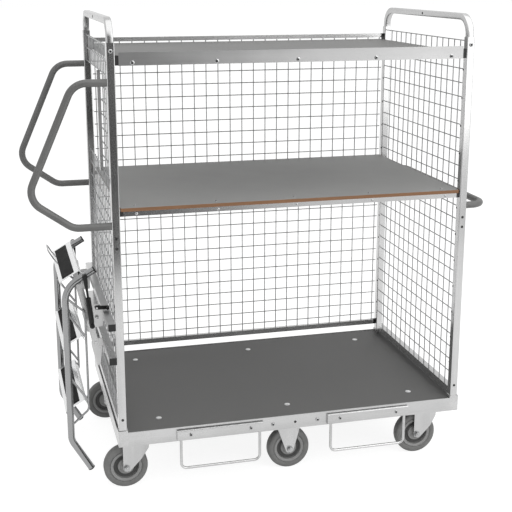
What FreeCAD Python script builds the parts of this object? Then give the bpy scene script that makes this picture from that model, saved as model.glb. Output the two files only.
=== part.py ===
import FreeCAD, Part
import math
import os
import Sketcher

# An order picking trolley: a welded base on six castors, four square posts with
# wire mesh ends and back, two shelves, push handles, and a fold-in step ladder at
# the left end. +X is the right end, -Y the open front, +Z up, and the origin is on the
# floor under the middle of the overall length. All sizes are in millimetres.

doc = FreeCAD.newDocument("order_picking_trolley")
sheet = doc.addObject("Spreadsheet::Sheet", "Sizes")
nodes = []
TYRE_SIDES = 40
RIM_SIDES = 24
THICK_SIDES = 12
THIN_SIDES = 6
WIRE_SIDES = 4


class Size:
    """A number together with the sheet formula that gives it."""

    def __init__(self, number, formula):
        self.number = number
        self.formula = formula

    def __add__(self, other):
        other = as_size(other)
        return Size(self.number + other.number, f"({self.formula} + {other.formula})")

    def __sub__(self, other):
        other = as_size(other)
        return Size(self.number - other.number, f"({self.formula} - {other.formula})")

    def __mul__(self, other):
        other = as_size(other)
        return Size(self.number * other.number, f"({self.formula} * {other.formula})")

    def __truediv__(self, other):
        other = as_size(other)
        return Size(self.number / other.number, f"({self.formula} / {other.formula})")

    def __radd__(self, other):
        return as_size(other) + self

    def __rsub__(self, other):
        return as_size(other) - self

    def __rmul__(self, other):
        return as_size(other) * self

    def __neg__(self):
        return Size(-self.number, f"(0 - {self.formula})")


def as_size(value):
    if isinstance(value, Size):
        return value
    return Size(float(value), f"({float(value)})")


def size(name, number):
    """Enter a driving dimension in the sheet under its own alias."""
    row = size.rows + 1
    size.rows = row
    sheet.set(f"A{row}", name)
    sheet.set(f"B{row}", str(number))
    sheet.setAlias(f"B{row}", name)
    return Size(float(number), f"Sizes.{name}")


size.rows = 0


def whole(value):
    return Size(float(math.floor(value.number)), f"floor({value.formula})")


def root(value):
    return Size(math.sqrt(value.number), f"sqrt({value.formula})")


def cosine(angle):
    return Size(math.cos(math.radians(angle.number)), f"cos({angle.formula})")


def sine(angle):
    return Size(math.sin(math.radians(angle.number)), f"sin({angle.formula})")


def bind(thing, prop, value):
    thing.setExpression(prop, as_size(value).formula)


def put(thing, at):
    for axis, value in zip("xyz", at):
        bind(thing, "Placement.Base." + axis, value)


def node(thing, label):
    """Register a finished piece under its name, set over so that the origin is mid-length."""
    piece = thing if thing.TypeId == "Part::Compound" else group(thing)
    bind(piece, "Placement.Base.x", origin_shift)
    piece.Label = label
    nodes.append(piece)


def box(x, y, z):
    """A block between pairs of x, y and z limits."""
    block = doc.addObject("Part::Box", "Block")
    for prop, (low, high) in zip(("Length", "Width", "Height"), (x, y, z)):
        bind(block, prop, as_size(high) - low)
    put(block, (x[0], y[0], z[0]))
    return block


ALONG = {
    "x": FreeCAD.Rotation(FreeCAD.Vector(0, 1, 0), 90),
    "y": FreeCAD.Rotation(FreeCAD.Vector(1, 0, 0), -90),
    "z": FreeCAD.Rotation(),
}


def rod(along, start, length, radius):
    """A round bar from a start point along an axis."""
    bar = doc.addObject("Part::Cylinder", "Rod")
    bar.Placement = FreeCAD.Placement(FreeCAD.Vector(), ALONG[along])
    bind(bar, "Radius", radius)
    bind(bar, "Height", length)
    put(bar, start)
    return bar


def drum(along, start, length, radius, sides=THICK_SIDES):
    """A many-sided bar, for round pieces that nothing turns on."""
    bar = doc.addObject("Part::Prism", "Drum")
    bar.Polygon = sides
    bar.Placement = FreeCAD.Placement(FreeCAD.Vector(), ALONG[along])
    bind(bar, "Circumradius", radius)
    bind(bar, "Height", length)
    put(bar, start)
    return bar


def fuse(*pieces):
    weldment = doc.addObject("Part::MultiFuse", "Weldment")
    weldment.Shapes = list(pieces)
    weldment.Refine = True
    return weldment


def cut(piece, *tools):
    rest = doc.addObject("Part::Cut", "Trimmed")
    rest.Base = piece
    rest.Tool = tools[0] if len(tools) == 1 else fuse(*tools)
    return rest


def group(*pieces):
    """Separate like pieces that are kept together as one node."""
    several = doc.addObject("Part::Compound", "Set")
    several.Links = list(pieces)
    return several


def origin_feature(body, role):
    return [item for item in body.Origin.OriginFeatures if item.Role == role][0]


def new_body():
    return doc.addObject("PartDesign::Body", "Body")


def new_sketch(body, plane, offset=0.0):
    page = body.newObject("Sketcher::SketchObject", "Sketch")
    page.AttachmentSupport = [(origin_feature(body, plane + "_Plane"), "")]
    page.MapMode = "FlatFace"
    bind(page, "AttachmentOffset.Base.z", offset)
    return page


def fix(page, kind, where, value):
    """Add a dimension to a sketch and bind it to its formula."""
    value = as_size(value)
    index = page.addConstraint(Sketcher.Constraint(kind, *where, value.number))
    page.setExpression(f"Constraints[{index}]", value.formula)


def fix_point(page, geometry, end, corner):
    fix(page, "DistanceX", (geometry, end), corner[0])
    fix(page, "DistanceY", (geometry, end), corner[1])


def draw(page, corners, closed=True):
    """Straight runs through the corners; a corner with a third value is rounded by it."""
    count = len(corners)
    points = [FreeCAD.Vector(as_size(c[0]).number, as_size(c[1]).number, 0) for c in corners]
    arrive = list(points)
    leave = list(points)
    bends = {}
    for i in range(count):
        if len(corners[i]) < 3:
            continue
        before = (points[i] - points[i - 1]).normalize()
        after = (points[(i + 1) % count] - points[i]).normalize()
        turn = math.atan2(before.x * after.y - before.y * after.x, before.dot(after))
        radius = as_size(corners[i][2]).number
        reach = radius * math.tan(abs(turn) / 2)
        arrive[i] = points[i] - before * reach
        leave[i] = points[i] + after * reach
        side = FreeCAD.Vector(-before.y, before.x, 0) * math.copysign(radius, turn)
        bends[i] = (arrive[i] + side, radius, turn)
    base = page.GeometryCount
    runs = count if closed else count - 1
    for i in range(runs):
        page.addGeometry(Part.LineSegment(leave[i], arrive[(i + 1) % count]))
    for i in range(count):
        run_in = base + (i - 1) % count
        run_out = base + i
        if i in bends:
            centre, radius, turn = bends[i]
            first, last = (arrive[i], leave[i]) if turn > 0 else (leave[i], arrive[i])
            start = math.atan2(first.y - centre.y, first.x - centre.x)
            circle = Part.Circle(centre, FreeCAD.Vector(0, 0, 1), radius)
            arc = page.addGeometry(Part.ArcOfCircle(circle, start, start + abs(turn)))
            mark = page.addGeometry(Part.Point(points[i]), True)
            head, tail = (1, 2) if turn > 0 else (2, 1)
            page.addConstraint(Sketcher.Constraint("Tangent", run_in, 2, arc, head))
            page.addConstraint(Sketcher.Constraint("Tangent", arc, tail, run_out, 1))
            page.addConstraint(Sketcher.Constraint("PointOnObject", mark, 1, run_in))
            page.addConstraint(Sketcher.Constraint("PointOnObject", mark, 1, run_out))
            fix(page, "Radius", (arc,), corners[i][2])
            fix_point(page, mark, 1, corners[i])
        elif closed or 0 < i < count - 1:
            page.addConstraint(Sketcher.Constraint("Coincident", run_in, 2, run_out, 1))
            fix_point(page, run_out, 1, corners[i])
        elif i == 0:
            fix_point(page, run_out, 1, corners[0])
        else:
            fix_point(page, run_in, 2, corners[i])


def ring(page, centre, radius):
    """A full circle in a sketch."""
    place = FreeCAD.Vector(as_size(centre[0]).number, as_size(centre[1]).number, 0)
    index = page.addGeometry(Part.Circle(place, FreeCAD.Vector(0, 0, 1), as_size(radius).number))
    fix_point(page, index, 3, centre)
    fix(page, "Radius", (index,), radius)


def pad(body, page, length):
    solid = body.newObject("PartDesign::Pad", "Pad")
    solid.Profile = page
    bind(solid, "Length", length)
    return solid


def plate(plane, outline, low, high, holes=()):
    """A flat piece: an outline, with round holes, between two levels across its plane."""
    body = new_body()
    start = -as_size(high) if plane == "XZ" else low
    page = new_sketch(body, plane, start)
    draw(page, outline)
    for centre, radius in holes:
        ring(page, centre, radius)
    pad(body, page, as_size(high) - low)
    return body


def bent_bar(plane, level, corners, draw_section):
    """A section drawn by draw_section and swept along a path in a plane."""
    body = new_body()
    path = new_sketch(body, plane, level)
    draw(path, corners, closed=False)
    doc.recompute()
    section = body.newObject("Sketcher::SketchObject", "Section")
    section.AttachmentSupport = [(path, "Edge1")]
    section.MapMode = "NormalToEdge"
    draw_section(section)
    doc.recompute()
    sweep = body.newObject("PartDesign::AdditivePipe", "Sweep")
    sweep.Profile = section
    sweep.Spine = (path, [f"Edge{i + 1}" for i in range(len(path.Shape.Edges))])
    return body


def many_sided(sides, radius):
    """The corners of a regular outline that stands for a circle with few facets."""
    turns = [math.pi * (2 * index + 1) / sides for index in range(sides)]
    return [(radius * math.cos(turn), radius * math.sin(turn)) for turn in turns]


def thick_bar(plane, level, corners, radius):
    return bent_bar(plane, level, corners, lambda page: draw(page, many_sided(THICK_SIDES, radius)))


def thin_bar(plane, level, corners, radius):
    return bent_bar(plane, level, corners, lambda page: draw(page, many_sided(THIN_SIDES, radius)))


def thick_tube(plane, level, corners, radius, bore):
    def section(page):
        draw(page, many_sided(THICK_SIDES, radius))
        draw(page, many_sided(THICK_SIDES, bore))

    return bent_bar(plane, level, corners, section)


def plain_square(half):
    return [(half, half), (-half, half), (-half, -half), (half, -half)]


def rounded_square(half, rounding):
    return [(x, y, rounding) for x, y in plain_square(half)]


def wires(body, along, start, length, step_along, step, count):
    """A row of equal straight wires at an even pitch."""
    wire = body.newObject("PartDesign::AdditivePrism", "Wire")
    wire.Polygon = WIRE_SIDES
    wire.Placement = FreeCAD.Placement(FreeCAD.Vector(), ALONG[along])
    bind(wire, "Circumradius", wire_radius)
    bind(wire, "Height", length)
    put(wire, start)
    doc.recompute()
    row = body.newObject("PartDesign::LinearPattern", "Row")
    row.Originals = [wire]
    row.Direction = (origin_feature(body, step_along + "_Axis"), [""])
    bind(row, "Length", step * (as_size(count) - 1))
    bind(row, "Occurrences", count)
    body.Tip = row


def tilt(thing, angle):
    """Turn a piece so that its own x axis rises toward +X by an angle."""
    thing.Placement = FreeCAD.Placement(
        FreeCAD.Vector(), FreeCAD.Rotation(FreeCAD.Vector(0, -1, 0), as_size(angle).number))
    bind(thing, "Placement.Rotation.Angle", angle)


# How far a cutting tool runs past the faces that it opens.
over = size("over", 1)

# Sizes of the posts, which stand in sockets at the corners of the base.
post_size = size("post_size", 28)
post_wall = size("post_wall", 2)
post_round = size("post_round", 3)
post_x = size("post_x", 630)
post_y = size("post_y", 390)
post_length = size("post_length", 1400)
seat_gap = size("seat_gap", 0.2)

# Castors. Their parts stack up from the floor to the underside of the base.
wheel_radius = size("wheel_radius", 80)
wheel_width = size("wheel_width", 40)
hub_width = size("hub_width", 51)
hub_radius = size("hub_radius", 16)
rim_width = size("rim_width", 28)
rim_recess = size("rim_recess", 7)
axle_radius = size("axle_radius", 6)
axle_fit = size("axle_fit", 0.05)
fork_gap = size("fork_gap", 0.5)
fork_sheet = size("fork_sheet", 4.5)
fork_lead = size("fork_lead", 36)
fork_tail = size("fork_tail", 62)
fork_skirt = size("fork_skirt", 28)
fork_nose = size("fork_nose", 12)
fork_below = size("fork_below", 14)
fork_round = size("fork_round", 10)
castor_x = size("castor_x", 564)
castor_y = size("castor_y", 309)
castor_trail = size("castor_trail", 50)
castor_plate_thick = size("castor_plate_thick", 4)
castor_plate_depth = size("castor_plate_depth", 86)
castor_plate_length = size("castor_plate_length", 100)
race_radius = size("race_radius", 34)
race_height = size("race_height", 11)
lower_race_height = size("lower_race_height", 10.6)
race_gap = size("race_gap", 0.4)
kingpin_radius = size("kingpin_radius", 8)
tyre_clearance = size("tyre_clearance", 5)
crown_thick = size("crown_thick", 5)
crown_height = wheel_radius * 2 + tyre_clearance + crown_thick
lower_race_top = crown_height + lower_race_height
upper_race_foot = lower_race_top + race_gap
plate_foot = upper_race_foot + race_height
base_foot = plate_foot + castor_plate_thick

# Base frame, deck board and the bearers that the castors bolt to.
socket_wall = size("socket_wall", 2.8)
socket_height = size("socket_height", 60)
socket_floor = size("socket_floor", 4)
rail_height = size("rail_height", 52)
rail_wall = size("rail_wall", 3)
rail_foot_flange = size("rail_foot_flange", 30)
rail_seat_flange = size("rail_seat_flange", 35)
deck_rise = size("deck_rise", 49)
deck_thick = size("deck_thick", 13)
deck_gap = size("deck_gap", 0.5)
bearer_width = size("bearer_width", 97)
bearer_wall = size("bearer_wall", 3)
bearer_gap = size("bearer_gap", 0.3)
socket_top = base_foot + socket_height
deck_top = base_foot + deck_rise
post_top = base_foot + socket_floor + post_length

# Stirrups: a folded cover on the rail with a bent rod hanging from it.
stirrup_x = size("stirrup_x", 281)
stirrup_cover = size("stirrup_cover", 318)
stirrup_cover_rise = size("stirrup_cover_rise", 5)
stirrup_cover_height = size("stirrup_cover_height", 38)
stirrup_depth = size("stirrup_depth", 12)
stirrup_sheet = size("stirrup_sheet", 2)
stirrup_loop = size("stirrup_loop", 290)
stirrup_drop = size("stirrup_drop", 110)
stirrup_bend = size("stirrup_bend", 20)
stirrup_radius = size("stirrup_radius", 5)
stirrup_cover_foot = base_foot + stirrup_cover_rise
stirrup_low = stirrup_cover_foot - stirrup_drop

# End hoops, lower end bars and mesh.
hoop_gap = size("hoop_gap", 0.2)
hoop_rise = size("hoop_rise", 68)
hoop_bend = size("hoop_bend", 64)
hoop_depth = size("hoop_depth", 60)
end_bar_gap = size("end_bar_gap", 2)
end_bar_height = size("end_bar_height", 26)
end_bar_width = size("end_bar_width", 25)
bar_wall = size("bar_wall", 2)
mesh_pitch = size("mesh_pitch", 50)
wire_radius = size("wire_radius", 2)
wire_gap = size("wire_gap", 0.2)
end_wire_drop = size("end_wire_drop", 15)
mesh_margin = size("mesh_margin", 30)
window_rows_down = size("window_rows_down", 9)
window_wires = size("window_wires", 6)
window_front_wires = size("window_front_wires", 5)
window_bar_width = size("window_bar_width", 25)
window_bar_depth = size("window_bar_depth", 11)
window_bar_y = size("window_bar_y", 101)
back_rail_depth = size("back_rail_depth", 16)
back_top_drop = size("back_top_drop", 45)
back_top_height = size("back_top_height", 16)
back_low_rise = size("back_low_rise", 84)
back_low_height = size("back_low_height", 20)
back_wire_margin = size("back_wire_margin", 29)
back_overhang = size("back_overhang", 6)

# Shelves and the plastic spacers that hold shelves and back panel off the posts.
spacer_length = size("spacer_length", 12)
spacer_width = size("spacer_width", 10)
spacer_inset = size("spacer_inset", 1)
spacer_drop = size("spacer_drop", 10)
shelf_front = size("shelf_front", 400)
shelf_back = size("shelf_back", 386)
shelf_sheet = size("shelf_sheet", 2)
shelf_flange = size("shelf_flange", 22)
board_gap = size("board_gap", 0.5)
board_thick = size("board_thick", 12)
top_shelf_drop = size("top_shelf_drop", 31)
top_lip = size("top_lip", 43)
top_board_drop = size("top_board_drop", 20)
middle_shelf_rise = size("middle_shelf_rise", 810)
middle_lip = size("middle_lip", 16)
middle_board_over = size("middle_board_over", 8)

# Handles and push bar.
grip_radius = size("grip_radius", 12.5)
handle_top = size("handle_top", 1472)
handle_low = size("handle_low", 994)
handle_top_reach = size("handle_top_reach", 108)
handle_low_reach = size("handle_low_reach", 125)
handle_tip_reach = size("handle_tip_reach", 273)
handle_tip_height = size("handle_tip_height", 1099)
handle_bend = size("handle_bend", 66)
push_height = size("push_height", 995)
push_reach = size("push_reach", 81.5)
push_bend = size("push_bend", 60)

# Cross tubes and brackets that carry the ladder.
ladder_tube = size("ladder_tube", 25)
ladder_tube_high = size("ladder_tube_high", 640)
ladder_tube_low = size("ladder_tube_low", 517)
tube_cap = size("tube_cap", 2)
pivot_radius = size("pivot_radius", 5)
pivot_fit = size("pivot_fit", 0.05)
link_x = size("link_x", 694)
link_top_x = size("link_top_x", 748)
link_top_z = size("link_top_z", 757)
link_half = size("link_half", 11)
link_y = size("link_y", 190)
link_thick = size("link_thick", 6)
lug_thick = size("lug_thick", 4)
link_play = size("link_play", 2)
lug_half = size("lug_half", 14)
lug_round = size("lug_round", 13)
lug_tail = size("lug_tail", 90)
lug_tail_set = size("lug_tail_set", 3)
lug_tail_width = size("lug_tail_width", 12)
lug_tail_round = size("lug_tail_round", 4)
bracket_y = size("bracket_y", 232)
bracket_edge = size("bracket_edge", 12)
bracket_drop = size("bracket_drop", 48)
bracket_shoulder = size("bracket_shoulder", 21)
bracket_round = size("bracket_round", 8)
strut_y = size("strut_y", 250)
strut_low_x = size("strut_low_x", 709)
strut_low_drop = size("strut_low_drop", 39)
strut_low_z = ladder_tube_high - strut_low_drop
strut_top_x = size("strut_top_x", 728)
strut_top_z = size("strut_top_z", 785)
strut_radius = size("strut_radius", 9.5)
strut_rod_radius = size("strut_rod_radius", 5)
strut_rod_gap = size("strut_rod_gap", 0.6)
strut_body = size("strut_body", 106)
strut_eye_radius = size("strut_eye_radius", 9)
strut_eye_half = size("strut_eye_half", 8)
strut_pin_radius = size("strut_pin_radius", 4)
strut_overlap = size("strut_overlap", 3)
strut_rod_start = size("strut_rod_start", 60)
strut_head_gap = size("strut_head_gap", 0.5)
lever_x = size("lever_x", 690)
lever_rise = size("lever_rise", 23)
lever_z = ladder_tube_high + lever_rise
lever_reach = size("lever_reach", 38)
lever_half = size("lever_half", 6.5)
lever_thick = size("lever_thick", 6)
lever_gap = size("lever_gap", 1)
lever_peg = size("lever_peg", 9)
knob_length = size("knob_length", 16)
knob_radius = size("knob_radius", 6)

# Ladder: two bent stiles, tilted treads with pads, and brace rods.
stile_x = size("stile_x", 798)
stile_y = size("stile_y", 225)
stile_radius = size("stile_radius", 12.5)
ladder_tilt = size("ladder_tilt", 30)
arm_corner_z = size("arm_corner_z", 740)
arm_run = size("arm_run", 124)
arm_bend = size("arm_bend", 90)
foot_corner_z = size("foot_corner_z", 160)
foot_run = size("foot_run", 138.5)
foot_bend = size("foot_bend", 60)
stile_cap = size("stile_cap", 4)
stile_cap_radius = size("stile_cap_radius", 13)
stile_lug_radius = size("stile_lug_radius", 10)
stile_lug_seat = size("stile_lug_seat", 8)
tread_edge_x = size("tread_edge_x", 815.5)
tread_edge_z = size("tread_edge_z", 757)
tread_pitch = size("tread_pitch", 245.5)
tread_depth = size("tread_depth", 83)
tread_height = size("tread_height", 20)
tread_sheet = size("tread_sheet", 2)
tread_gap = size("tread_gap", 0.3)
pad_edge = size("pad_edge", 15)
pad_depth = size("pad_depth", 48)
pad_half = size("pad_half", 190)
pad_thick = size("pad_thick", 3)
brace_radius = size("brace_radius", 4)
brace_x = size("brace_x", 729)
pull_height = size("pull_height", 38)
pull_width = size("pull_width", 100)
pull_radius = size("pull_radius", 2.5)
pull_bend = size("pull_bend", 10)
brace_gap = size("brace_gap", 0.2)
brace_shoulder = size("brace_shoulder", 38)
brace_knee = size("brace_knee", 100)
brace_bend = size("brace_bend", 25)
brace_foot = size("brace_foot", 60)
brace_stay_rise = size("brace_stay_rise", 34)
brace_stay = size("brace_stay", 105)

doc.recompute()

# The origin is under the middle of the length over handles and push bar.
origin_shift = (handle_tip_reach - push_reach - grip_radius) / 2

# Faces that several pieces share.
post_in_x = post_x - post_size / 2
post_out_x = post_x + post_size / 2
post_in_y = post_y - post_size / 2
post_out_y = post_y + post_size / 2
socket_half = post_size / 2 + seat_gap + socket_wall
base_out_x = post_x + socket_half
base_out_y = post_y + socket_half
rail_end_x = post_x - socket_half
rail_end_y = post_y - socket_half
rail_top = base_foot + rail_height
deck_foot = deck_top - deck_thick
bearer_top = deck_foot - rail_wall
SIDES = (("front", -1), ("rear", 1))
ENDS = (("left", -1), ("right", 1))


def both(half):
    return (-as_size(half), as_size(half))


def around(centre, half):
    """Limits at one distance on both sides of a centre."""
    return (centre - half, centre + half)


def span(first, last):
    """Order two limits so that the lower one comes first."""
    first = as_size(first)
    last = as_size(last)
    return (first, last) if first.number < last.number else (last, first)


def rail_outline(out, side):
    """The rail section: an upright web with a foot flange and a seat for the deck."""
    web = out - rail_wall
    foot_end = out - rail_foot_flange
    seat_end = out - rail_seat_flange
    across = [out, foot_end, foot_end, web, web, seat_end, seat_end, web, web, out]
    levels = [base_foot, base_foot, base_foot + rail_wall, base_foot + rail_wall, bearer_top,
              bearer_top, deck_foot, deck_foot, rail_top, rail_top]
    return [(a * side, level) for a, level in zip(across, levels)]


# Long base rails, folded from sheet, between the corner sockets.
for name, side in SIDES:
    rail = plate("YZ", rail_outline(base_out_y, side), -rail_end_x, rail_end_x)
    node(rail, f"rail_{name}")

# Each base end is an end rail welded to the two corner sockets that take the posts.
for name, end in ENDS:
    pieces = [plate("XZ", rail_outline(base_out_x, end), -rail_end_y, rail_end_y)]
    for _, side in SIDES:
        x = post_x * end
        y = post_y * side
        inside = socket_half - socket_wall
        shell = box(around(x, socket_half), around(y, socket_half), (base_foot, socket_top))
        bore = box(around(x, inside), around(y, inside), (base_foot + socket_floor, socket_top + over))
        pieces.append(cut(shell, bore))
    node(fuse(*pieces), f"base_end_{name}")

# Deck board, notched round the sockets and resting on the rails' seats.
deck = box(both(base_out_x - rail_wall - deck_gap), both(base_out_y - rail_wall - deck_gap),
           (deck_foot, deck_top))
notches = []
for _, end in ENDS:
    for _, side in SIDES:
        notches.append(box(span((rail_end_x - deck_gap) * end, (base_out_x + over) * end),
                           span((rail_end_y - deck_gap) * side, (base_out_y + over) * side),
                           (deck_foot - over, deck_top + over)))
node(cut(deck, *notches), "deck_board")

# Cross bearers under the deck, rectangular tubes between the rails' foot flanges.
bearer_end = base_out_y - rail_foot_flange - bearer_gap
for name, place in (("left", -castor_x), ("middle", as_size(0)), ("right", castor_x)):
    half = bearer_width / 2
    outer = box(around(place, half), both(bearer_end), (base_foot, bearer_top))
    inner = box(around(place, half - bearer_wall), both(bearer_end + over),
                (base_foot + bearer_wall, bearer_top - bearer_wall))
    node(cut(outer, inner), f"bearer_{name}")

# Stirrups, two on each long rail: the loop hangs from under the folded cover.
for name, side in SIDES:
    pair = []
    for _, end in ENDS:
        centre = stirrup_x * end
        face = base_out_y * side
        outside = (base_out_y + stirrup_depth) * side
        skin = (base_out_y + stirrup_depth - stirrup_sheet) * side
        cover_top = stirrup_cover_foot + stirrup_cover_height
        half = stirrup_cover / 2
        cover = box(around(centre, half), span(face, outside), (stirrup_cover_foot, cover_top))
        hollow = box(around(centre, half - stirrup_sheet), span(face - over * side, skin),
                     (stirrup_cover_foot + stirrup_sheet, cover_top - stirrup_sheet))
        leg = stirrup_loop / 2
        root_level = stirrup_cover_foot + stirrup_sheet / 2
        loop = thin_bar("XZ", -(base_out_y + stirrup_depth / 2) * side, [
            (centre - leg, root_level),
            (centre - leg, stirrup_low, stirrup_bend),
            (centre + leg, stirrup_low, stirrup_bend),
            (centre + leg, root_level)], stirrup_radius)
        pair.append(fuse(cut(cover, hollow), loop))
    node(group(*pair), f"stirrups_{name}")

# Posts: square tubes with rounded edges, standing on the socket floors.
for side_name, side in SIDES:
    for end_name, end in ENDS:
        body = new_body()
        page = new_sketch(body, "XY", base_foot + socket_floor)
        draw(page, rounded_square(post_size / 2, post_round))
        draw(page, plain_square(post_size / 2 - post_wall))
        pad(body, page, post_length)
        put(body, (post_x * end, post_y * side, 0))
        node(body, f"post_{side_name}_{end_name}")

# End hoops: an inverted U of square tube whose legs go down inside the post tops.
hoop_half = post_size / 2 - post_wall - hoop_gap
hoop_foot = post_top - hoop_depth
hoop_top = post_top + hoop_rise
for name, end in ENDS:
    hoop = bent_bar("YZ", post_x * end, [
        (-post_y, hoop_foot),
        (-post_y, hoop_top, hoop_bend),
        (post_y, hoop_top, hoop_bend),
        (post_y, hoop_foot)], lambda page: draw(page, plain_square(hoop_half)))
    node(hoop, f"hoop_{name}")

# Lower end bars, square tubes between the posts just above the deck.
end_bar_foot = socket_top + end_bar_gap
end_bar_top = end_bar_foot + end_bar_height
for name, end in ENDS:
    half = end_bar_width / 2
    centre = post_x * end
    outer = box(around(centre, half), both(post_in_y), (end_bar_foot, end_bar_top))
    inner = box(around(centre, half - bar_wall), both(post_in_y + over),
                (end_bar_foot + bar_wall, end_bar_top - bar_wall))
    node(cut(outer, inner), f"end_bar_{name}")

# End meshes: upright wires on the inside, level wires welded across their outside.
upright_x = post_x - wire_radius
level_x = upright_x + 2 * wire_radius + wire_gap
end_wire_top = post_top - end_wire_drop
end_wires_up = whole((post_in_y - mesh_margin) * 2 / mesh_pitch) + 1
end_wires_across = whole((end_wire_top - end_bar_top - mesh_margin) / mesh_pitch) + 1
first_y = -mesh_pitch * (end_wires_up - 1) / 2
level_foot = end_wire_top - mesh_pitch * (end_wires_across - 1)
upright_length = end_wire_top + wire_radius - end_bar_top
mesh = new_body()
mesh.AllowCompound = True
wires(mesh, "z", (upright_x, first_y, end_bar_top), upright_length, "Y", mesh_pitch, end_wires_up)
wires(mesh, "y", (level_x, -post_in_y, level_foot), post_in_y * 2, "Z", mesh_pitch, end_wires_across)
node(mesh, "mesh_right")

# The left mesh has a window between an upright bar and the rear post.
window_foot = end_wire_top - mesh_pitch * window_rows_down
window_top = window_foot + mesh_pitch * (window_wires + 1)
bar_y = -window_bar_y
window_first_y = first_y + mesh_pitch * window_front_wires
rear_count = end_wires_up - window_front_wires
low_count = end_wires_across - window_rows_down
high_count = window_rows_down - window_wires
window_edge = bar_y + window_bar_width / 2
mesh = new_body()
mesh.AllowCompound = True
wires(mesh, "z", (-upright_x, first_y, end_bar_top), upright_length, "Y", mesh_pitch, window_front_wires)
wires(mesh, "z", (-upright_x, window_first_y, end_bar_top), window_foot + wire_radius - end_bar_top,
      "Y", mesh_pitch, rear_count)
wires(mesh, "z", (-upright_x, window_first_y, window_top - wire_radius),
      end_wire_top - window_top + 2 * wire_radius, "Y", mesh_pitch, rear_count)
wires(mesh, "y", (-level_x, -post_in_y, level_foot), post_in_y * 2, "Z", mesh_pitch, low_count)
wires(mesh, "y", (-level_x, -post_in_y, window_top), post_in_y * 2, "Z", mesh_pitch, high_count)
wires(mesh, "y", (-level_x, -post_in_y, window_foot + mesh_pitch), post_in_y + window_edge,
      "Z", mesh_pitch, window_wires)
node(mesh, "mesh_left")

# Upright bar at the window's front edge, a flat tube clipped to the outside of the wires.
bar_face = level_x + wire_radius + wire_gap
bar_foot = window_foot - wire_radius
bar_top = window_top + wire_radius
outer = box((-bar_face - window_bar_depth, -bar_face), around(bar_y, window_bar_width / 2),
            (bar_foot, bar_top))
inner = box((-bar_face - window_bar_depth + bar_wall, -bar_face - bar_wall),
            around(bar_y, window_bar_width / 2 - bar_wall), (bar_foot - over, bar_top + over))
node(cut(outer, inner), "window_bar")

# Back panel: top and bottom rails with wires welded between and across them.
panel_half = post_in_x - spacer_length
panel_front = post_out_y - back_rail_depth
back_top_foot = post_top - back_top_drop
back_low_foot = base_foot + back_low_rise
low_rail_top = back_low_foot + back_low_height
back_upright_y = post_out_y - 2 * wire_radius
back_level_y = back_upright_y - 2 * wire_radius - wire_gap
back_wire_foot = low_rail_top + back_wire_margin
back_wires_up = whole(panel_half * 2 / mesh_pitch) + 1
back_wires_across = whole((back_top_foot - back_wire_foot) / mesh_pitch) + 1
back_mesh = new_body()
back_mesh.AllowCompound = True
wires(back_mesh, "z", (-mesh_pitch * (back_wires_up - 1) / 2, back_upright_y, low_rail_top),
      back_top_foot - low_rail_top, "X", mesh_pitch, back_wires_up)
wires(back_mesh, "x", (-panel_half - back_overhang, back_level_y, back_wire_foot),
      (panel_half + back_overhang) * 2, "Z", mesh_pitch, back_wires_across)
node(back_mesh, "mesh_back")
back_rails = []
for foot, height in ((back_top_foot, back_top_height), (back_low_foot, back_low_height)):
    outer = box(both(panel_half), (panel_front, post_out_y), (foot, foot + height))
    inner = box(both(panel_half + over), (panel_front + bar_wall, post_out_y - bar_wall),
                (foot + bar_wall, foot + height - bar_wall))
    back_rails.append(cut(outer, inner))
node(group(*back_rails), "back_rails")

# Top shelf: a frame of folded sheet with a ledge that carries the board. Only the front lip stands
# up above the board; the ends and the back are level with it.
top_shelf_top = post_top - top_shelf_drop
lip_foot = top_shelf_top - top_lip
top_board_top = top_shelf_top - top_board_drop
ledge_top = top_board_top - board_thick
shelf_y = (-shelf_front, shelf_back)


def inset(margin):
    """The shelf's plan, drawn in by a margin on every side."""
    return both(panel_half - margin), (-(shelf_front - margin), shelf_back - margin)


frame = box(both(panel_half), shelf_y, (lip_foot, top_shelf_top))
well = box(*inset(shelf_sheet), (ledge_top, top_shelf_top + over))
hollow = box(*inset(shelf_sheet), (lip_foot + shelf_sheet, ledge_top - shelf_sheet))
middle = box(*inset(shelf_flange), (lip_foot - over, top_shelf_top + over))
low_sides = box(both(panel_half + over), (-(shelf_front - shelf_sheet), shelf_back + over),
                (top_board_top, top_shelf_top + over))
node(cut(frame, well, hollow, middle, low_sides), "shelf_top_frame")
node(box(*inset(shelf_sheet + board_gap), (ledge_top, top_board_top)), "shelf_top_board")

# Middle shelf: a board laid on a shallow frame, overhanging it at ends and front.
middle_shelf_top = deck_top + middle_shelf_rise
middle_board_foot = middle_shelf_top - board_thick
middle_frame_foot = middle_board_foot - middle_lip
frame = box(both(panel_half), shelf_y, (middle_frame_foot, middle_board_foot))
hollow = box(*inset(shelf_sheet), (middle_frame_foot - over, middle_board_foot - shelf_sheet))
middle = box(*inset(shelf_flange), (middle_frame_foot - over, middle_board_foot + over))
node(cut(frame, hollow, middle), "shelf_middle_frame")
node(box(both(panel_half + middle_board_over), shelf_y, (middle_board_foot, middle_shelf_top)),
     "shelf_middle_board")

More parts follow.
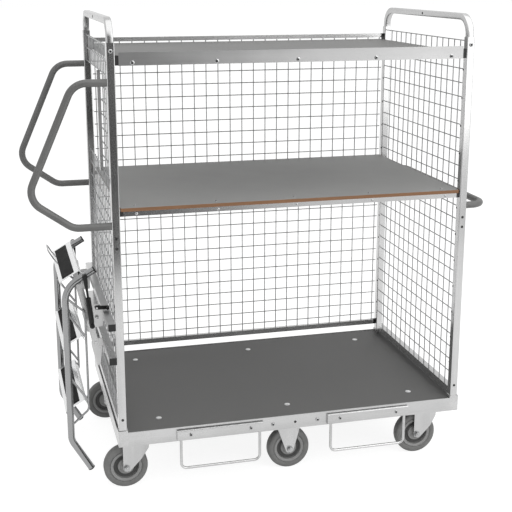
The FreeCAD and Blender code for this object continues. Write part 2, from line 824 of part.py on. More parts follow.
# Plastic spacers between posts and the ends of shelves and back rails.
spacers = []
for _, end in ENDS:
    gap_x = span(panel_half * end, post_in_x * end)
    front_y = (-shelf_front, -shelf_front + 2 * spacer_width)
    rear_y = (shelf_back - spacer_width, shelf_back)
    top_z = (lip_foot + spacer_inset, top_shelf_top - spacer_drop)
    middle_z = (middle_frame_foot, middle_board_foot - spacer_inset)
    for y_range in (front_y, rear_y):
        spacers.append(box(gap_x, y_range, top_z))
        spacers.append(box(gap_x, y_range, middle_z))
    back_y = (panel_front + spacer_inset, post_out_y - spacer_inset)
    spacers.append(box(gap_x, back_y, (back_top_foot, back_top_foot + back_top_height)))
    spacers.append(box(gap_x, back_y, (back_low_foot, back_low_foot + back_low_height)))
node(group(*spacers), "spacers")

# Push handles at the left end: one bent tube on each left post.
for name, side in SIDES:
    handle = thick_bar("XZ", -post_y * side, [
        (-post_out_x, handle_top),
        (-post_out_x - handle_top_reach, handle_top, handle_bend),
        (-post_out_x - handle_tip_reach, handle_tip_height, handle_bend),
        (-post_out_x - handle_low_reach, handle_low, handle_bend),
        (-post_out_x, handle_low)], grip_radius)
    node(handle, f"handle_{name}")

# Push bar across the right end.
bar = thick_bar("XY", push_height, [
    (post_out_x, -post_y),
    (post_out_x + push_reach, -post_y, push_bend),
    (post_out_x + push_reach, post_y, push_bend),
    (post_out_x, post_y)], grip_radius)
node(bar, "push_bar")

# Cross tubes for the ladder on the outside of the left posts, with end caps.
tube_out = post_out_x + ladder_tube
caps = []
for name, level in (("upper", ladder_tube_high), ("lower", ladder_tube_low)):
    half = ladder_tube / 2
    tube_end = post_out_y - tube_cap
    outer = box((-tube_out, -post_out_x), both(tube_end), around(level, half))
    inner = box((-tube_out + bar_wall, -post_out_x - bar_wall), both(tube_end + over),
                around(level, half - bar_wall))
    node(cut(outer, inner), f"ladder_tube_{name}")
    for _, side in SIDES:
        caps.append(box((-tube_out, -post_out_x), span(tube_end * side, post_out_y * side),
                        around(level, half)))
node(group(*caps), "ladder_tube_caps")

# Brackets welded to the cross tubes: the upper ones carry struts and latch lever, the
# lower lugs carry the swing links.
brackets = []
bracket_out = bracket_y + lug_thick
lug_in = link_y - link_play - lug_thick
weld_half = ladder_tube / 2 - seat_gap
for _, side in SIDES:
    sheet_y = span(bracket_y * side, bracket_out * side)
    upper = plate("XZ", [
        (-tube_out, ladder_tube_high - bracket_drop),
        (-strut_low_x - bracket_edge, strut_low_z - bracket_edge, bracket_round),
        (-strut_low_x - bracket_edge, strut_low_z + bracket_shoulder, bracket_round),
        (-lever_x - bracket_edge, lever_z + bracket_edge, bracket_round),
        (-lever_x + bracket_edge, lever_z + bracket_edge, bracket_round),
        (-tube_out, ladder_tube_high + weld_half)], *sheet_y)
    pin_y = span(bracket_y * side, (strut_y + strut_eye_half) * side)
    pin = rod("y", (-strut_low_x, pin_y[0], strut_low_z), pin_y[1] - pin_y[0], strut_pin_radius)
    pieces = [upper, pin]
    if side < 0:
        peg = rod("y", (-lever_x, -bracket_out - lever_peg, lever_z), lever_peg + over, strut_pin_radius)
        pieces.append(peg)
    brackets.append(fuse(*pieces))
    lug_y = span((link_y - link_play) * side, lug_in * side)
    tail_foot = ladder_tube_low - lug_tail
    tail_out = -link_x + lug_tail_set
    lug = plate("XZ", [
        (-tube_out, ladder_tube_low + weld_half),
        (-link_x - lug_half, ladder_tube_low + lug_half, lug_round),
        (-link_x - lug_half, ladder_tube_low - lug_half, lug_round),
        (tail_out, tail_foot, lug_tail_round),
        (tail_out + lug_tail_width, tail_foot, lug_tail_round),
        (-tube_out, ladder_tube_low - weld_half)], *lug_y)
    pin_y = span(lug_in * side, (link_y + link_thick + link_play) * side)
    pin = rod("y", (-link_x, pin_y[0], ladder_tube_low), pin_y[1] - pin_y[0], pivot_radius)
    brackets.append(fuse(lug, pin))
node(group(*brackets), "ladder_brackets")


def bar_between(first, last, half, low, high, holes):
    """A flat bar in the XZ plane that ends in half a twelve-sided outline round each pivot."""
    dx = last[0] - first[0]
    dz = last[1] - first[1]
    length = root(dx * dx + dz * dz)
    ux = dx / length * half
    uz = dz / length * half
    outline = []
    for pivot, start in ((last, -90), (first, 90)):
        for step in range(THICK_SIDES // 2 + 1):
            turn = math.radians(start + step * 360 / THICK_SIDES)
            onward = math.cos(turn)
            across = math.sin(turn)
            outline.append((pivot[0] + ux * onward - uz * across, pivot[1] + uz * onward + ux * across))
    return plate("XZ", outline, low, high, holes)


# Swing links: flat bars from the lower lugs up to the ladder.
link_low = (-link_x, ladder_tube_low)
link_top = (-link_top_x, link_top_z)
bore_radius = pivot_radius + pivot_fit
links = []
for _, side in SIDES:
    links.append(bar_between(link_low, link_top, link_half,
                             *span(link_y * side, (link_y + link_thick) * side),
                             [(link_low, bore_radius), (link_top, bore_radius)]))
node(group(*links), "swing_links")

# Gas struts: a cylinder on the bracket pin and a rod that reaches up to the ladder arm.
strut_dx = strut_low_x - strut_top_x
strut_dz = strut_top_z - strut_low_z
strut_length = root(strut_dx * strut_dx + strut_dz * strut_dz)


def on_strut(distance):
    share = distance / strut_length
    return (-strut_low_x + strut_dx * share, strut_low_z + strut_dz * share)


cylinders = []
plungers = []
for _, side in SIDES:
    level = -strut_y * side
    eye_start = strut_y * side - strut_eye_half
    case = thick_tube("XZ", level, [on_strut(strut_eye_radius - strut_overlap), on_strut(strut_body)],
                      strut_radius, strut_rod_radius + strut_rod_gap)
    eye = drum("y", (-strut_low_x, eye_start, strut_low_z), strut_eye_half * 2, strut_eye_radius)
    hole = rod("y", (-strut_low_x, eye_start - over, strut_low_z), (strut_eye_half + over) * 2,
               strut_pin_radius + pivot_fit)
    cylinders.append(cut(fuse(case, eye), hole))
    shaft = thin_bar("XZ", level, [on_strut(strut_rod_start), on_strut(strut_length)], strut_rod_radius)
    head = drum("y", (-strut_top_x, eye_start, strut_top_z), strut_eye_half * 2, strut_eye_radius)
    plungers.append(fuse(shaft, head))
node(group(*cylinders), "strut_cylinders")
node(group(*plungers), "strut_rods")

# Latch lever on the front bracket, lifted to let the ladder down.
lever_low = -bracket_out - lever_gap - lever_thick
lever_pivot = (-lever_x, lever_z)
lever_tip = (-lever_x + lever_reach, lever_z)
lever = bar_between(lever_pivot, lever_tip, lever_half, lever_low, lever_low + lever_thick,
                    [(lever_pivot, strut_pin_radius + pivot_fit)])
knob = drum("y", (lever_tip[0], lever_low - knob_length, lever_z), knob_length + over, knob_radius)
node(fuse(lever, knob), "latch_lever")

# Ladder stiles: bent tubes with the lugs and pins of the link and strut pivots.
cos_tilt = cosine(ladder_tilt)
sin_tilt = sine(ladder_tilt)


def on_arm(distance):
    return (-stile_x + distance * cos_tilt, arm_corner_z + distance * sin_tilt)


def on_foot(distance):
    return (-stile_x + distance * sin_tilt, foot_corner_z - distance * cos_tilt)


stile_caps = []
for name, side in SIDES:
    level = -stile_y * side
    tube = thick_bar("XZ", level, [
        on_arm(arm_run - stile_cap),
        (-stile_x, arm_corner_z, arm_bend),
        (-stile_x, foot_corner_z, foot_bend),
        on_foot(foot_run - stile_cap)], stile_radius)
    link_face = link_y + link_thick + link_play
    lug_y = span(link_face * side, (stile_y - stile_lug_seat) * side)
    lug = drum("y", (-link_top_x, lug_y[0], link_top_z), lug_y[1] - lug_y[0], stile_lug_radius)
    pin_y = span((link_y - link_play) * side, (link_face + over) * side)
    pin = rod("y", (-link_top_x, pin_y[0], link_top_z), pin_y[1] - pin_y[0], pivot_radius)
    boss_y = span((stile_y + stile_lug_seat) * side, (strut_y - strut_eye_half - strut_head_gap) * side)
    boss = drum("y", (-strut_top_x, boss_y[0], strut_top_z), boss_y[1] - boss_y[0], strut_eye_radius)
    node(fuse(tube, lug, pin, boss), f"stile_{name}")
    for along, run in ((on_arm, arm_run), (on_foot, foot_run)):
        cap_line = [along(run - stile_cap), along(run)]
        stile_caps.append(thick_bar("XZ", level, cap_line, stile_cap_radius))
node(group(*stile_caps), "stile_caps")

# Treads: folded channels between the stiles, level once the ladder is let down.
tread_half = stile_y - stile_radius - tread_gap
wall = tread_sheet
channel = [
    (0, 0), (tread_depth, 0), (tread_depth, -tread_height), (tread_depth - wall, -tread_height),
    (tread_depth - wall, -wall), (wall, -wall), (wall, -tread_height), (0, -tread_height)]
pads = []
for index, name in enumerate(("top", "middle", "low")):
    edge_z = tread_edge_z - tread_pitch * index
    tread = plate("XZ", channel, -tread_half, tread_half)
    tilt(tread, ladder_tilt)
    put(tread, (-tread_edge_x, 0, edge_z))
    if name == "top":
        pull_end = tread_half - 2 * pull_radius
        pull = thin_bar("YZ", pull_radius, [
            (pull_end - pull_width, -wall / 2),
            (pull_end - pull_width, pull_height, pull_bend),
            (pull_end, pull_height, pull_bend),
            (pull_end, -wall / 2)], pull_radius)
        tilt(pull, ladder_tilt)
        put(pull, (-tread_edge_x, 0, edge_z))
        tread = fuse(tread, pull)
    node(tread, f"tread_{name}")
    cushion = box((0, pad_depth), both(pad_half), (0, pad_thick))
    tilt(cushion, ladder_tilt)
    put(cushion, (-tread_edge_x + pad_edge * cos_tilt, -pad_half, edge_z + pad_edge * sin_tilt))
    pads.append(cushion)
node(group(*pads), "tread_pads")

# Brace rods: bent out from the stiles past the inner edges of the two lower treads.
braces = []
brace_y = stile_y - stile_radius - brace_radius - brace_gap
for _, side in SIDES:
    level = -brace_y * side
    low_edge_z = tread_edge_z - tread_pitch * 2
    main = thin_bar("XZ", level, [
        (-stile_x, arm_corner_z - brace_shoulder),
        (-brace_x, arm_corner_z - brace_knee, brace_bend),
        (-brace_x, low_edge_z, brace_bend),
        (-stile_x, low_edge_z - brace_foot)], brace_radius)
    pieces = [main]
    for index in (1, 2):
        knee = tread_edge_z - tread_pitch * index + brace_stay_rise
        stay = [(-brace_x, knee), (-stile_x, knee + brace_stay)]
        pieces.append(thin_bar("XZ", level, stay, brace_radius))
    braces.append(fuse(*pieces))
node(group(*braces), "ladder_braces")

# Castors. A swivel castor's plate has the upper race with a bore for the kingpin.
axle_z = wheel_radius
leg_in = hub_width / 2 + fork_gap
leg_out = leg_in + fork_sheet
tops = []
for side_name, side in SIDES:
    for end_name, end in ENDS:
        x = castor_x * end
        y = castor_y * side
        axle_x = x - castor_trail
        top = box(around(x, castor_plate_length / 2), around(y, castor_plate_depth / 2),
                  (plate_foot, base_foot))
        race = drum("z", (x, y, upper_race_foot), race_height, race_radius, RIM_SIDES)
        bore = rod("z", (x, y, upper_race_foot - over), race_height, kingpin_radius + pivot_fit)
        tops.append(cut(fuse(top, race), bore))
        pieces = [
            drum("z", (x, y, crown_height), lower_race_height, race_radius, RIM_SIDES),
            rod("z", (x, y, crown_height), lower_race_height + race_gap + race_height / 2, kingpin_radius),
            box((x - fork_tail, x + fork_lead), around(y, leg_out),
                (crown_height - crown_thick, crown_height)),
            rod("y", (axle_x, y - leg_out, axle_z), leg_out * 2, axle_radius)]
        leg = [
            (x + fork_lead, crown_height), (x - fork_tail, crown_height),
            (axle_x - fork_nose, axle_z - fork_below, fork_round),
            (axle_x + fork_nose, axle_z - fork_below, fork_round),
            (x + fork_lead, crown_height - fork_skirt)]
        for leg_y in ((y - leg_out, y - leg_in), (y + leg_in, y + leg_out)):
            pieces.append(plate("XZ", leg, *leg_y))
        node(fuse(*pieces), f"fork_{side_name}_{end_name}")
node(group(*tops), "castor_plates")

# Fixed middle castors: plate and splayed fork legs in one pressing.
for name, side in SIDES:
    y = castor_y * side
    pieces = [
        box(both(castor_plate_length / 2), around(y, castor_plate_depth / 2), (plate_foot, base_foot)),
        rod("y", (0, y - leg_out, axle_z), leg_out * 2, axle_radius)]
    wide = castor_plate_length / 2
    leg = [
        (wide, base_foot), (-wide, base_foot), (-wide, plate_foot - fork_below),
        (-fork_nose, axle_z - fork_below, fork_round), (fork_nose, axle_z - fork_below, fork_round),
        (wide, plate_foot - fork_below)]
    for leg_y in ((y - leg_out, y - leg_in), (y + leg_in, y + leg_out)):
        pieces.append(plate("XZ", leg, *leg_y))
    node(fuse(*pieces), f"fork_{name}_middle")

# Wheels: a hub with the tyre moulded round it, recessed between the two on both sides.
rim_radius = wheel_radius - rim_width
wheel_places = (
    ("left", -castor_x - castor_trail), ("middle", as_size(0)), ("right", castor_x - castor_trail))
for side_name, side in SIDES:
    for end_name, x in wheel_places:
        tyre_y = around(castor_y * side, wheel_width / 2)
        hub_y = around(castor_y * side, hub_width / 2)
        tyre = drum("y", (x, tyre_y[0], axle_z), wheel_width, wheel_radius, TYRE_SIDES)
        near = drum("y", (x, tyre_y[0] - over, axle_z), rim_recess + over, rim_radius, RIM_SIDES)
        far = drum("y", (x, tyre_y[1] - rim_recess, axle_z), rim_recess + over, rim_radius, RIM_SIDES)
        hub = drum("y", (x, hub_y[0], axle_z), hub_width, hub_radius)
        bore = rod("y", (x, hub_y[0] - over, axle_z), hub_width + 2 * over, axle_radius + axle_fit)
        node(cut(fuse(cut(tyre, near, far), hub), bore), f"wheel_{side_name}_{end_name}")

# Every object must have been rebuilt, and every piece must be sound, before export.
doc.recompute()
for thing in doc.Objects:
    if "Invalid" in thing.State or "Error" in thing.State:
        raise RuntimeError(f"{thing.Name} ({thing.Label}) failed to rebuild")
for piece in nodes:
    if piece.Shape.isNull() or not piece.Shape.isValid() or not piece.Shape.Solids:
        raise RuntimeError(f"{piece.Label} has no sound solid")

os.makedirs("parts", exist_ok=True)
for piece in nodes:
    piece.Shape.exportStep(f"parts/{piece.Label}.step")
print(len(nodes), "pieces exported")
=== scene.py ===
import math

import bpy
from mathutils import Matrix, Vector


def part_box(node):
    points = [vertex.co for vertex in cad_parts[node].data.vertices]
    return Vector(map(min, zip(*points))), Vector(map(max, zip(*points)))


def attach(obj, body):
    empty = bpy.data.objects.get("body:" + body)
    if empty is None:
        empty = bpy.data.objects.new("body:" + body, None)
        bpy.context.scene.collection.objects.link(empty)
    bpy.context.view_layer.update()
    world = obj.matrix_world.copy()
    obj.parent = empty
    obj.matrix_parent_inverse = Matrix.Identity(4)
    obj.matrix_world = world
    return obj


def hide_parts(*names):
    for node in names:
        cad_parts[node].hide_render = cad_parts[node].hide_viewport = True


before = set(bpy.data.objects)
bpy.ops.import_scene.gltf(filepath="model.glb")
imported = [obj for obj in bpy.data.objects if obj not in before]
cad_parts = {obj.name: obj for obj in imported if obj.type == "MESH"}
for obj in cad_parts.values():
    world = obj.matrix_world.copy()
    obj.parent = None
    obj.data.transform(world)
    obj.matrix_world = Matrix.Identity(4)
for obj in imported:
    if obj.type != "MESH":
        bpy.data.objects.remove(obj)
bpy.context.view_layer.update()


# Posts: four square steel tubes with small rounded edges, bright zinc plated. They stand in
# sockets welded to the base ends. The plating is drawn out in faint streaks along each tube.
SIDES = (("front", -1), ("rear", 1))
ENDS = (("left", -1), ("right", 1))
UPRIGHT = (1.0, 1.0, 0.04)


class Value:
    """A socket in a material, so that shader sums read as plain sums."""

    def __init__(self, maker, socket):
        self.maker = maker
        self.socket = socket

    def maths(self, operation, first, second):
        return self.maker.node("ShaderNodeMath", {"operation": operation}, {0: first, 1: second})

    def __add__(self, other):
        return self.maths("ADD", self, other)

    def __radd__(self, other):
        return self.maths("ADD", other, self)

    def __sub__(self, other):
        return self.maths("SUBTRACT", self, other)

    def __rsub__(self, other):
        return self.maths("SUBTRACT", other, self)

    def __mul__(self, other):
        return self.maths("MULTIPLY", self, other)

    def __rmul__(self, other):
        return self.maths("MULTIPLY", other, self)

    def above(self, level, width):
        """0 below a level and 1 above it, with a soft step."""
        sockets = {"Value": self, "From Min": level - width, "From Max": level + width}
        return self.maker.node("ShaderNodeMapRange", {"interpolation_type": "SMOOTHSTEP"}, sockets)


class Maker:
    """Makes the nodes of one material, or of the studio round the trolley."""

    def __init__(self, owner):
        owner.use_nodes = True
        self.tree = owner.node_tree

    def put(self, socket, value):
        """Link a value made by nodes to a socket, or set a plain number or colour on it."""
        if isinstance(value, Value):
            self.tree.links.new(value.socket, socket)
        else:
            socket.default_value = value

    def node(self, kind, settings, sockets, out=0):
        """A node with its settings and then its sockets, as the value of one of its outputs."""
        made = self.tree.nodes.new(kind)
        for name, setting in settings.items():
            setattr(made, name, setting)
        for name, value in sockets.items():
            self.put(made.inputs[name], value)
        return Value(self, made.outputs[out])


class Finish(Maker):
    """One finish of the trolley: a material whose patterns feed the shader's sockets."""

    def __init__(self, name, slot):
        self.material = bpy.data.materials.new(name)
        super().__init__(self.material)
        self.shader = self.tree.nodes["Principled BSDF"]
        self.slot = slot
        self.place = self.node("ShaderNodeTexCoord", {}, {}, "Object")

    def stretched(self, along):
        """Object coordinates scaled along x, y and z."""
        return self.node("ShaderNodeMapping", {}, {"Vector": self.place, "Scale": along})

    def noise(self, scale, detail, rough, place=None):
        """Noise on the object's coordinates, or on stretched ones."""
        sockets = {"Vector": place or self.place, "Scale": scale, "Detail": detail, "Roughness": rough}
        return self.node("ShaderNodeTexNoise", {}, sockets, "Fac")

    def blend(self, share, first, second):
        """A colour between two colours. A Mix node's colour sockets go by their numbers."""
        sockets = {"Factor": share, 6: self.colour(first), 7: self.colour(second)}
        return self.node("ShaderNodeMix", {"data_type": "RGBA"}, sockets, 2)

    def colour(self, value):
        return value if isinstance(value, Value) else (*value, 1)

    def facing(self, axis):
        """How far a face's own direction lies along an axis, from 0 to 1."""
        normal = self.node("ShaderNodeNewGeometry", {}, {}, "Normal")
        local = self.node("ShaderNodeVectorTransform",
                          {"vector_type": "NORMAL", "convert_from": "WORLD", "convert_to": "OBJECT"},
                          {"Vector": normal})
        part = self.node("ShaderNodeSeparateXYZ", {}, {"Vector": local}, axis)
        return self.node("ShaderNodeMath", {"operation": "ABSOLUTE"}, {0: part})

    def bump(self, height, distance, strength):
        """Relief from a pattern, so many metres deep."""
        sockets = {"Height": height, "Distance": distance, "Strength": strength}
        self.set(Normal=self.node("ShaderNodeBump", {}, sockets))

    def set(self, **values):
        """Feed the shader's sockets, with _ for each space in their names."""
        for name, value in values.items():
            socket = self.shader.inputs[name.replace("_", " ")]
            if name == "Base_Color":
                value = self.colour(value)
            self.put(socket, value)

    def dress(self, *names):
        """Give this finish to CAD nodes."""
        for name in names:
            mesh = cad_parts[name].data
            mesh.materials.clear()
            mesh.materials.append(self.material)


def zinc(name, along, dullness=0.16, dark=0.44, light=0.58):
    """Bright zinc plating with faint streaks along one axis and soft cloudy patches."""
    plating = Finish(name, "zinc_steel")
    streaks = plating.noise(16, 4, 0.6, plating.stretched(along))
    clouds = plating.noise(5, 3, 0.55)
    specks = plating.noise(420, 2, 0.5)
    shade = streaks * 0.55 + clouds * 0.35 + specks * 0.1
    tone = plating.blend(shade.above(0.5, 0.22), (dark,) * 3, (light,) * 3)
    plating.set(Base_Color=tone, Metallic=0.92, Roughness=shade * 0.2 + dullness)
    plating.bump(specks * 0.6 + streaks * 0.4, 0.0003, 0.16)
    return plating


zinc_post = zinc("zinc_post", UPRIGHT, dullness=0.06, dark=0.46, light=0.6)
for side, _ in SIDES:
    for end, _ in ENDS:
        zinc_post.dress(f"post_{side}_{end}")


# Base frame: long rails folded from sheet, end rails with the corner sockets welded on, and the
# bearers under the deck that the castors bolt to. All are zinc plated after welding.
LENGTHWAYS = (0.04, 1.0, 1.0)
CROSSWAYS = (1.0, 0.04, 1.0)
zinc_lengthways = zinc("zinc_lengthways", LENGTHWAYS)
zinc_lengthways.dress("rail_front", "rail_rear", "castor_plates")
zinc_crossways = zinc("zinc_crossways", CROSSWAYS)
zinc_crossways.dress("base_end_left", "base_end_right", "bearer_left", "bearer_middle", "bearer_right")


# Deck board: plywood with a dark grey laminate on top. The laminate has a fine pebbled
# texture, and its sawn edge shows dark. The top shelf's board is the same.
laminate = Finish("deck_laminate", "deck_laminate")
pebbles = laminate.noise(900, 2, 0.6)
worn = laminate.noise(3.5, 4, 0.6)
rubbed_share = worn.above(0.5, 0.25) * 0.5 + pebbles * 0.5
laminate.set(
    Base_Color=laminate.blend(rubbed_share, (0.085, 0.085, 0.083), (0.115, 0.115, 0.112)),
    Roughness=pebbles * 0.2 + worn * 0.15 + 0.3, Specular_IOR_Level=0.45)
laminate.bump(pebbles, 0.0002, 0.35)
laminate.dress("deck_board", "shelf_top_board")


# Shelves: folded zinc frames with black spacers between them and the posts. The middle shelf has
# a board with a mid-grey face whose sawn edges show the brown ply, layer on layer.
PLY_WAVES = 2600
# The top frame's zinc is a darker copy, painted shade, and the middle frame's a lighter copy, painted light,
# for how each frame is lit.
zinc_satin_painted_shade = zinc("zinc_satin_painted_shade", LENGTHWAYS, dullness=0.22, dark=0.34, light=0.46)
zinc_satin_painted_shade.dress("shelf_top_frame")
zinc_sheet_painted_light = zinc("zinc_sheet_painted_light", LENGTHWAYS, dullness=0.06, dark=0.5, light=0.64)
zinc_sheet_painted_light.dress("shelf_middle_frame")
zinc_lengthways.dress("back_rails")
faced = Finish("shelf_laminate", "shelf_laminate")
grain = faced.noise(800, 2, 0.6)
haze = faced.noise(3, 3, 0.6)
height = faced.node("ShaderNodeSeparateXYZ", {}, {"Vector": faced.place}, "Z")
plies = faced.node("ShaderNodeMath", {"operation": "SINE"}, {0: height * PLY_WAVES})
fibres = faced.noise(90, 4, 0.65, faced.stretched((0.12, 0.12, 3.0)))
ply = faced.blend(plies * 0.25 + fibres * 0.6 + 0.1, (0.14, 0.066, 0.03), (0.33, 0.17, 0.082))
face_share = haze.above(0.5, 0.25) * 0.6 + grain * 0.4
face = faced.blend(face_share, (0.23, 0.23, 0.225), (0.278, 0.278, 0.272))
top_side = faced.facing("Z").above(0.5, 0.1)
faced.set(Base_Color=faced.blend(top_side, ply, face), Roughness=0.62 - top_side * 0.2 + grain * 0.12)
faced.bump(grain, 0.0002, 0.3)
faced.dress("shelf_middle_board")


# Black plastic: spacers between shelves and posts, and the caps in the tube ends. They are
# moulded with a fine matt texture.
plastic = Finish("black_plastic", "black_plastic")
matt = plastic.noise(1400, 2, 0.6)
scuffs = plastic.noise(30, 4, 0.65)
plastic.set(
    Base_Color=plastic.blend(scuffs.above(0.62, 0.12), (0.008, 0.008, 0.008), (0.018, 0.018, 0.018)),
    Roughness=matt * 0.2 + 0.42)
plastic.bump(matt, 0.0001, 0.4)
plastic.dress("spacers", "ladder_tube_caps")


# End bars, window bar, cross tubes and ladder brackets: square tube and cut sheet, zinc plated.
# The cross tubes run between the left posts and carry the brackets. The links swing on these.
zinc_crossways.dress("end_bar_left", "end_bar_right")
zinc_upright = zinc("zinc_upright", UPRIGHT)
zinc_upright.dress("window_bar", "swing_links")
# The cross tubes and brackets take a lighter copy of the zinc: painted light, for how brightly they are lit.
zinc_painted_light = zinc("zinc_painted_light", CROSSWAYS, dullness=0.2, dark=0.54, light=0.67)
zinc_painted_light.dress("ladder_tube_upper", "ladder_tube_lower", "ladder_brackets")


# Wire mesh: round drawn wires spot welded where they cross and zinc plated. Each wire is a closed
# round bar cut square at its ends. The left end has a window beside an upright bar.
WIRE_RADIUS = 0.002
WIRE_SIDES = 10
FROM_UPRIGHT = {"x": Matrix.Rotation(math.pi / 2, 4, "Y"), "y": Matrix.Rotation(-math.pi / 2, 4, "X"),
                "z": Matrix()}


def deselect():
    bpy.ops.object.select_all(action="DESELECT")


def only(piece):
    deselect()
    piece.select_set(True)
    bpy.context.view_layer.objects.active = piece


def edit(piece, mode="VERT"):
    only(piece)
    bpy.ops.object.mode_set(mode="EDIT")
    bpy.ops.mesh.select_mode(type=mode)


def settle(piece, angle=40):
    """Put a piece's place into its mesh and shade its gentle edges smooth."""
    only(piece)
    bpy.ops.object.transform_apply(location=True, rotation=True, scale=True)
    bpy.ops.object.shade_smooth_by_angle(angle=math.radians(angle))
    return piece


def joined(name, pieces):
    """Several pieces made into one object."""
    deselect()
    for piece in pieces:
        piece.select_set(True)
    whole = pieces[0]
    bpy.context.view_layer.objects.active = whole
    bpy.ops.object.join()
    whole.name = name
    return whole


def copied(piece, place, turn=None, name=None):
    """A copy with its own mesh, moved and perhaps turned, with its place in its mesh."""
    twin = piece.copy()
    twin.data = piece.data.copy()
    bpy.context.scene.collection.objects.link(twin)
    twin.data.transform(Matrix.Translation(place) @ (turn or Matrix()))
    if name:
        twin.name = name
    return twin


def discard(*masters):
    """Take away the pieces that were only made to be copied."""
    for master in masters:
        bpy.data.objects.remove(master)


def fit(piece, finish, body, *replaced):
    """Finish a new piece: its material, the body that it rides on and the nodes it stands for."""
    piece.data.materials.clear()
    piece.data.materials.append(finish.material)
    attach(piece, body)
    if replaced:
        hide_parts(*replaced)


def pick_faces(piece, wanted):
    """Open a piece for editing with only some of its faces selected."""
    edit(piece, "FACE")
    bpy.ops.mesh.select_all(action="DESELECT")
    bpy.ops.object.mode_set(mode="OBJECT")
    for polygon in piece.data.polygons:
        polygon.select = wanted(polygon)
    bpy.ops.object.mode_set(mode="EDIT")


def wire(length, along):
    """One straight wire from the origin along an axis."""
    bpy.ops.mesh.primitive_cylinder_add(
        vertices=WIRE_SIDES, radius=WIRE_RADIUS, depth=length, location=(0, 0, length / 2))
    rod = bpy.context.active_object
    pick_faces(rod, lambda polygon: len(polygon.vertices) == WIRE_SIDES)
    bpy.ops.mesh.inset(thickness=WIRE_RADIUS * 0.3, depth=0)
    bpy.ops.object.mode_set(mode="OBJECT")
    settle(rod, angle=50)
    rod.data.transform(FROM_UPRIGHT[along])
    return rod


def row(rod, start, step, count):
    """Copies of a wire at an even pitch."""
    wires = [copied(rod, Vector(start) + Vector(step) * index) for index in range(count)]
    discard(rod)
    return wires


drawn_wire = Finish("drawn_wire", "zinc_steel")
dull = drawn_wire.noise(60, 3, 0.6)
drawn_wire.set(
    Base_Color=drawn_wire.blend(dull.above(0.5, 0.2), (0.30, 0.303, 0.305), (0.42, 0.424, 0.426)),
    Metallic=0.8, Roughness=dull * 0.25 + 0.25)

PITCH = 0.05
END_UPRIGHTS = 14
END_LEVELS = 26
left_low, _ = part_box("post_front_left")
rear_low, rear_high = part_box("post_rear_right")
middle_x = (left_low.x + rear_high.x) / 2
inner_y = rear_low.y
mesh_low, mesh_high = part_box("mesh_right")
upright_x = mesh_low.x + WIRE_RADIUS
level_x = mesh_high.x - WIRE_RADIUS
upright_foot = mesh_low.z
full_upright = mesh_high.z - upright_foot
end_top = mesh_high.z - WIRE_RADIUS
first_y = -(END_UPRIGHTS - 1) / 2 * PITCH
level_foot = end_top - (END_LEVELS - 1) * PITCH
step_y = (0, PITCH, 0)
step_up = (0, 0, PITCH)
pieces = row(wire(full_upright, "z"), (upright_x, first_y, upright_foot), step_y, END_UPRIGHTS)
pieces += row(wire(2 * inner_y, "y"), (level_x, -inner_y, level_foot), step_up, END_LEVELS)
fit(joined("end_mesh_right", pieces), drawn_wire, "frame", "mesh_right")

WHOLE_UPRIGHTS = 5
WINDOW_ROWS = 7
ROWS_OVER_WINDOW = 2
cut_uprights = END_UPRIGHTS - WHOLE_UPRIGHTS
upper_rows = WINDOW_ROWS + ROWS_OVER_WINDOW
left_upright_x = 2 * middle_x - upright_x
left_level_x = 2 * middle_x - level_x
window_foot = end_top - upper_rows * PITCH
window_top = window_foot + WINDOW_ROWS * PITCH
window_first_y = first_y + WHOLE_UPRIGHTS * PITCH
_, bar_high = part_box("window_bar")
pieces = row(wire(full_upright, "z"), (left_upright_x, first_y, upright_foot), step_y, WHOLE_UPRIGHTS)
pieces += row(wire(window_foot + WIRE_RADIUS - upright_foot, "z"),
              (left_upright_x, window_first_y, upright_foot), step_y, cut_uprights)
pieces += row(wire(mesh_high.z - window_top + WIRE_RADIUS, "z"),
              (left_upright_x, window_first_y, window_top - WIRE_RADIUS), step_y, cut_uprights)
pieces += row(wire(2 * inner_y, "y"),
              (left_level_x, -inner_y, level_foot), step_up, END_LEVELS - upper_rows)
pieces += row(wire(2 * inner_y, "y"),
              (left_level_x, -inner_y, window_top), step_up, ROWS_OVER_WINDOW + 1)
pieces += row(wire(inner_y + bar_high.y, "y"),
              (left_level_x, -inner_y, window_foot + PITCH), step_up, WINDOW_ROWS - 1)
fit(joined("end_mesh_left", pieces), drawn_wire, "frame", "mesh_left")

BACK_WIRES = 25
BACK_FOOT = 0.329
back_low, back_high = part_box("mesh_back")
first_x = middle_x - (BACK_WIRES - 1) / 2 * PITCH
pieces = row(wire(back_high.z - back_low.z, "z"),
             (first_x, back_high.y - WIRE_RADIUS, back_low.z), (PITCH, 0, 0), BACK_WIRES)
pieces += row(wire(back_high.x - back_low.x, "x"),
              (back_low.x, back_low.y + WIRE_RADIUS, BACK_FOOT), step_up, BACK_WIRES)
fit(joined("back_mesh", pieces), drawn_wire, "frame", "mesh_back")


# Push handles: one bent steel tube on each left post, powder coated dark grey with a fine orange
# peel. A tube is drawn as a circle that is pulled along its straight runs and spun round the
# centre of each bend, as the tube is on a bending machine.
DEGREES_A_FACET = 6


def closed(piece, name, angle=40):
    """End the editing of a piece: merge what meets, turn its faces outward and shade it."""
    bpy.ops.mesh.select_all(action="SELECT")
    bpy.ops.mesh.remove_doubles(threshold=0.00001)
    bpy.ops.mesh.normals_make_consistent(inside=False)
    bpy.ops.object.mode_set(mode="OBJECT")
    piece.name = name
    return settle(piece, angle)


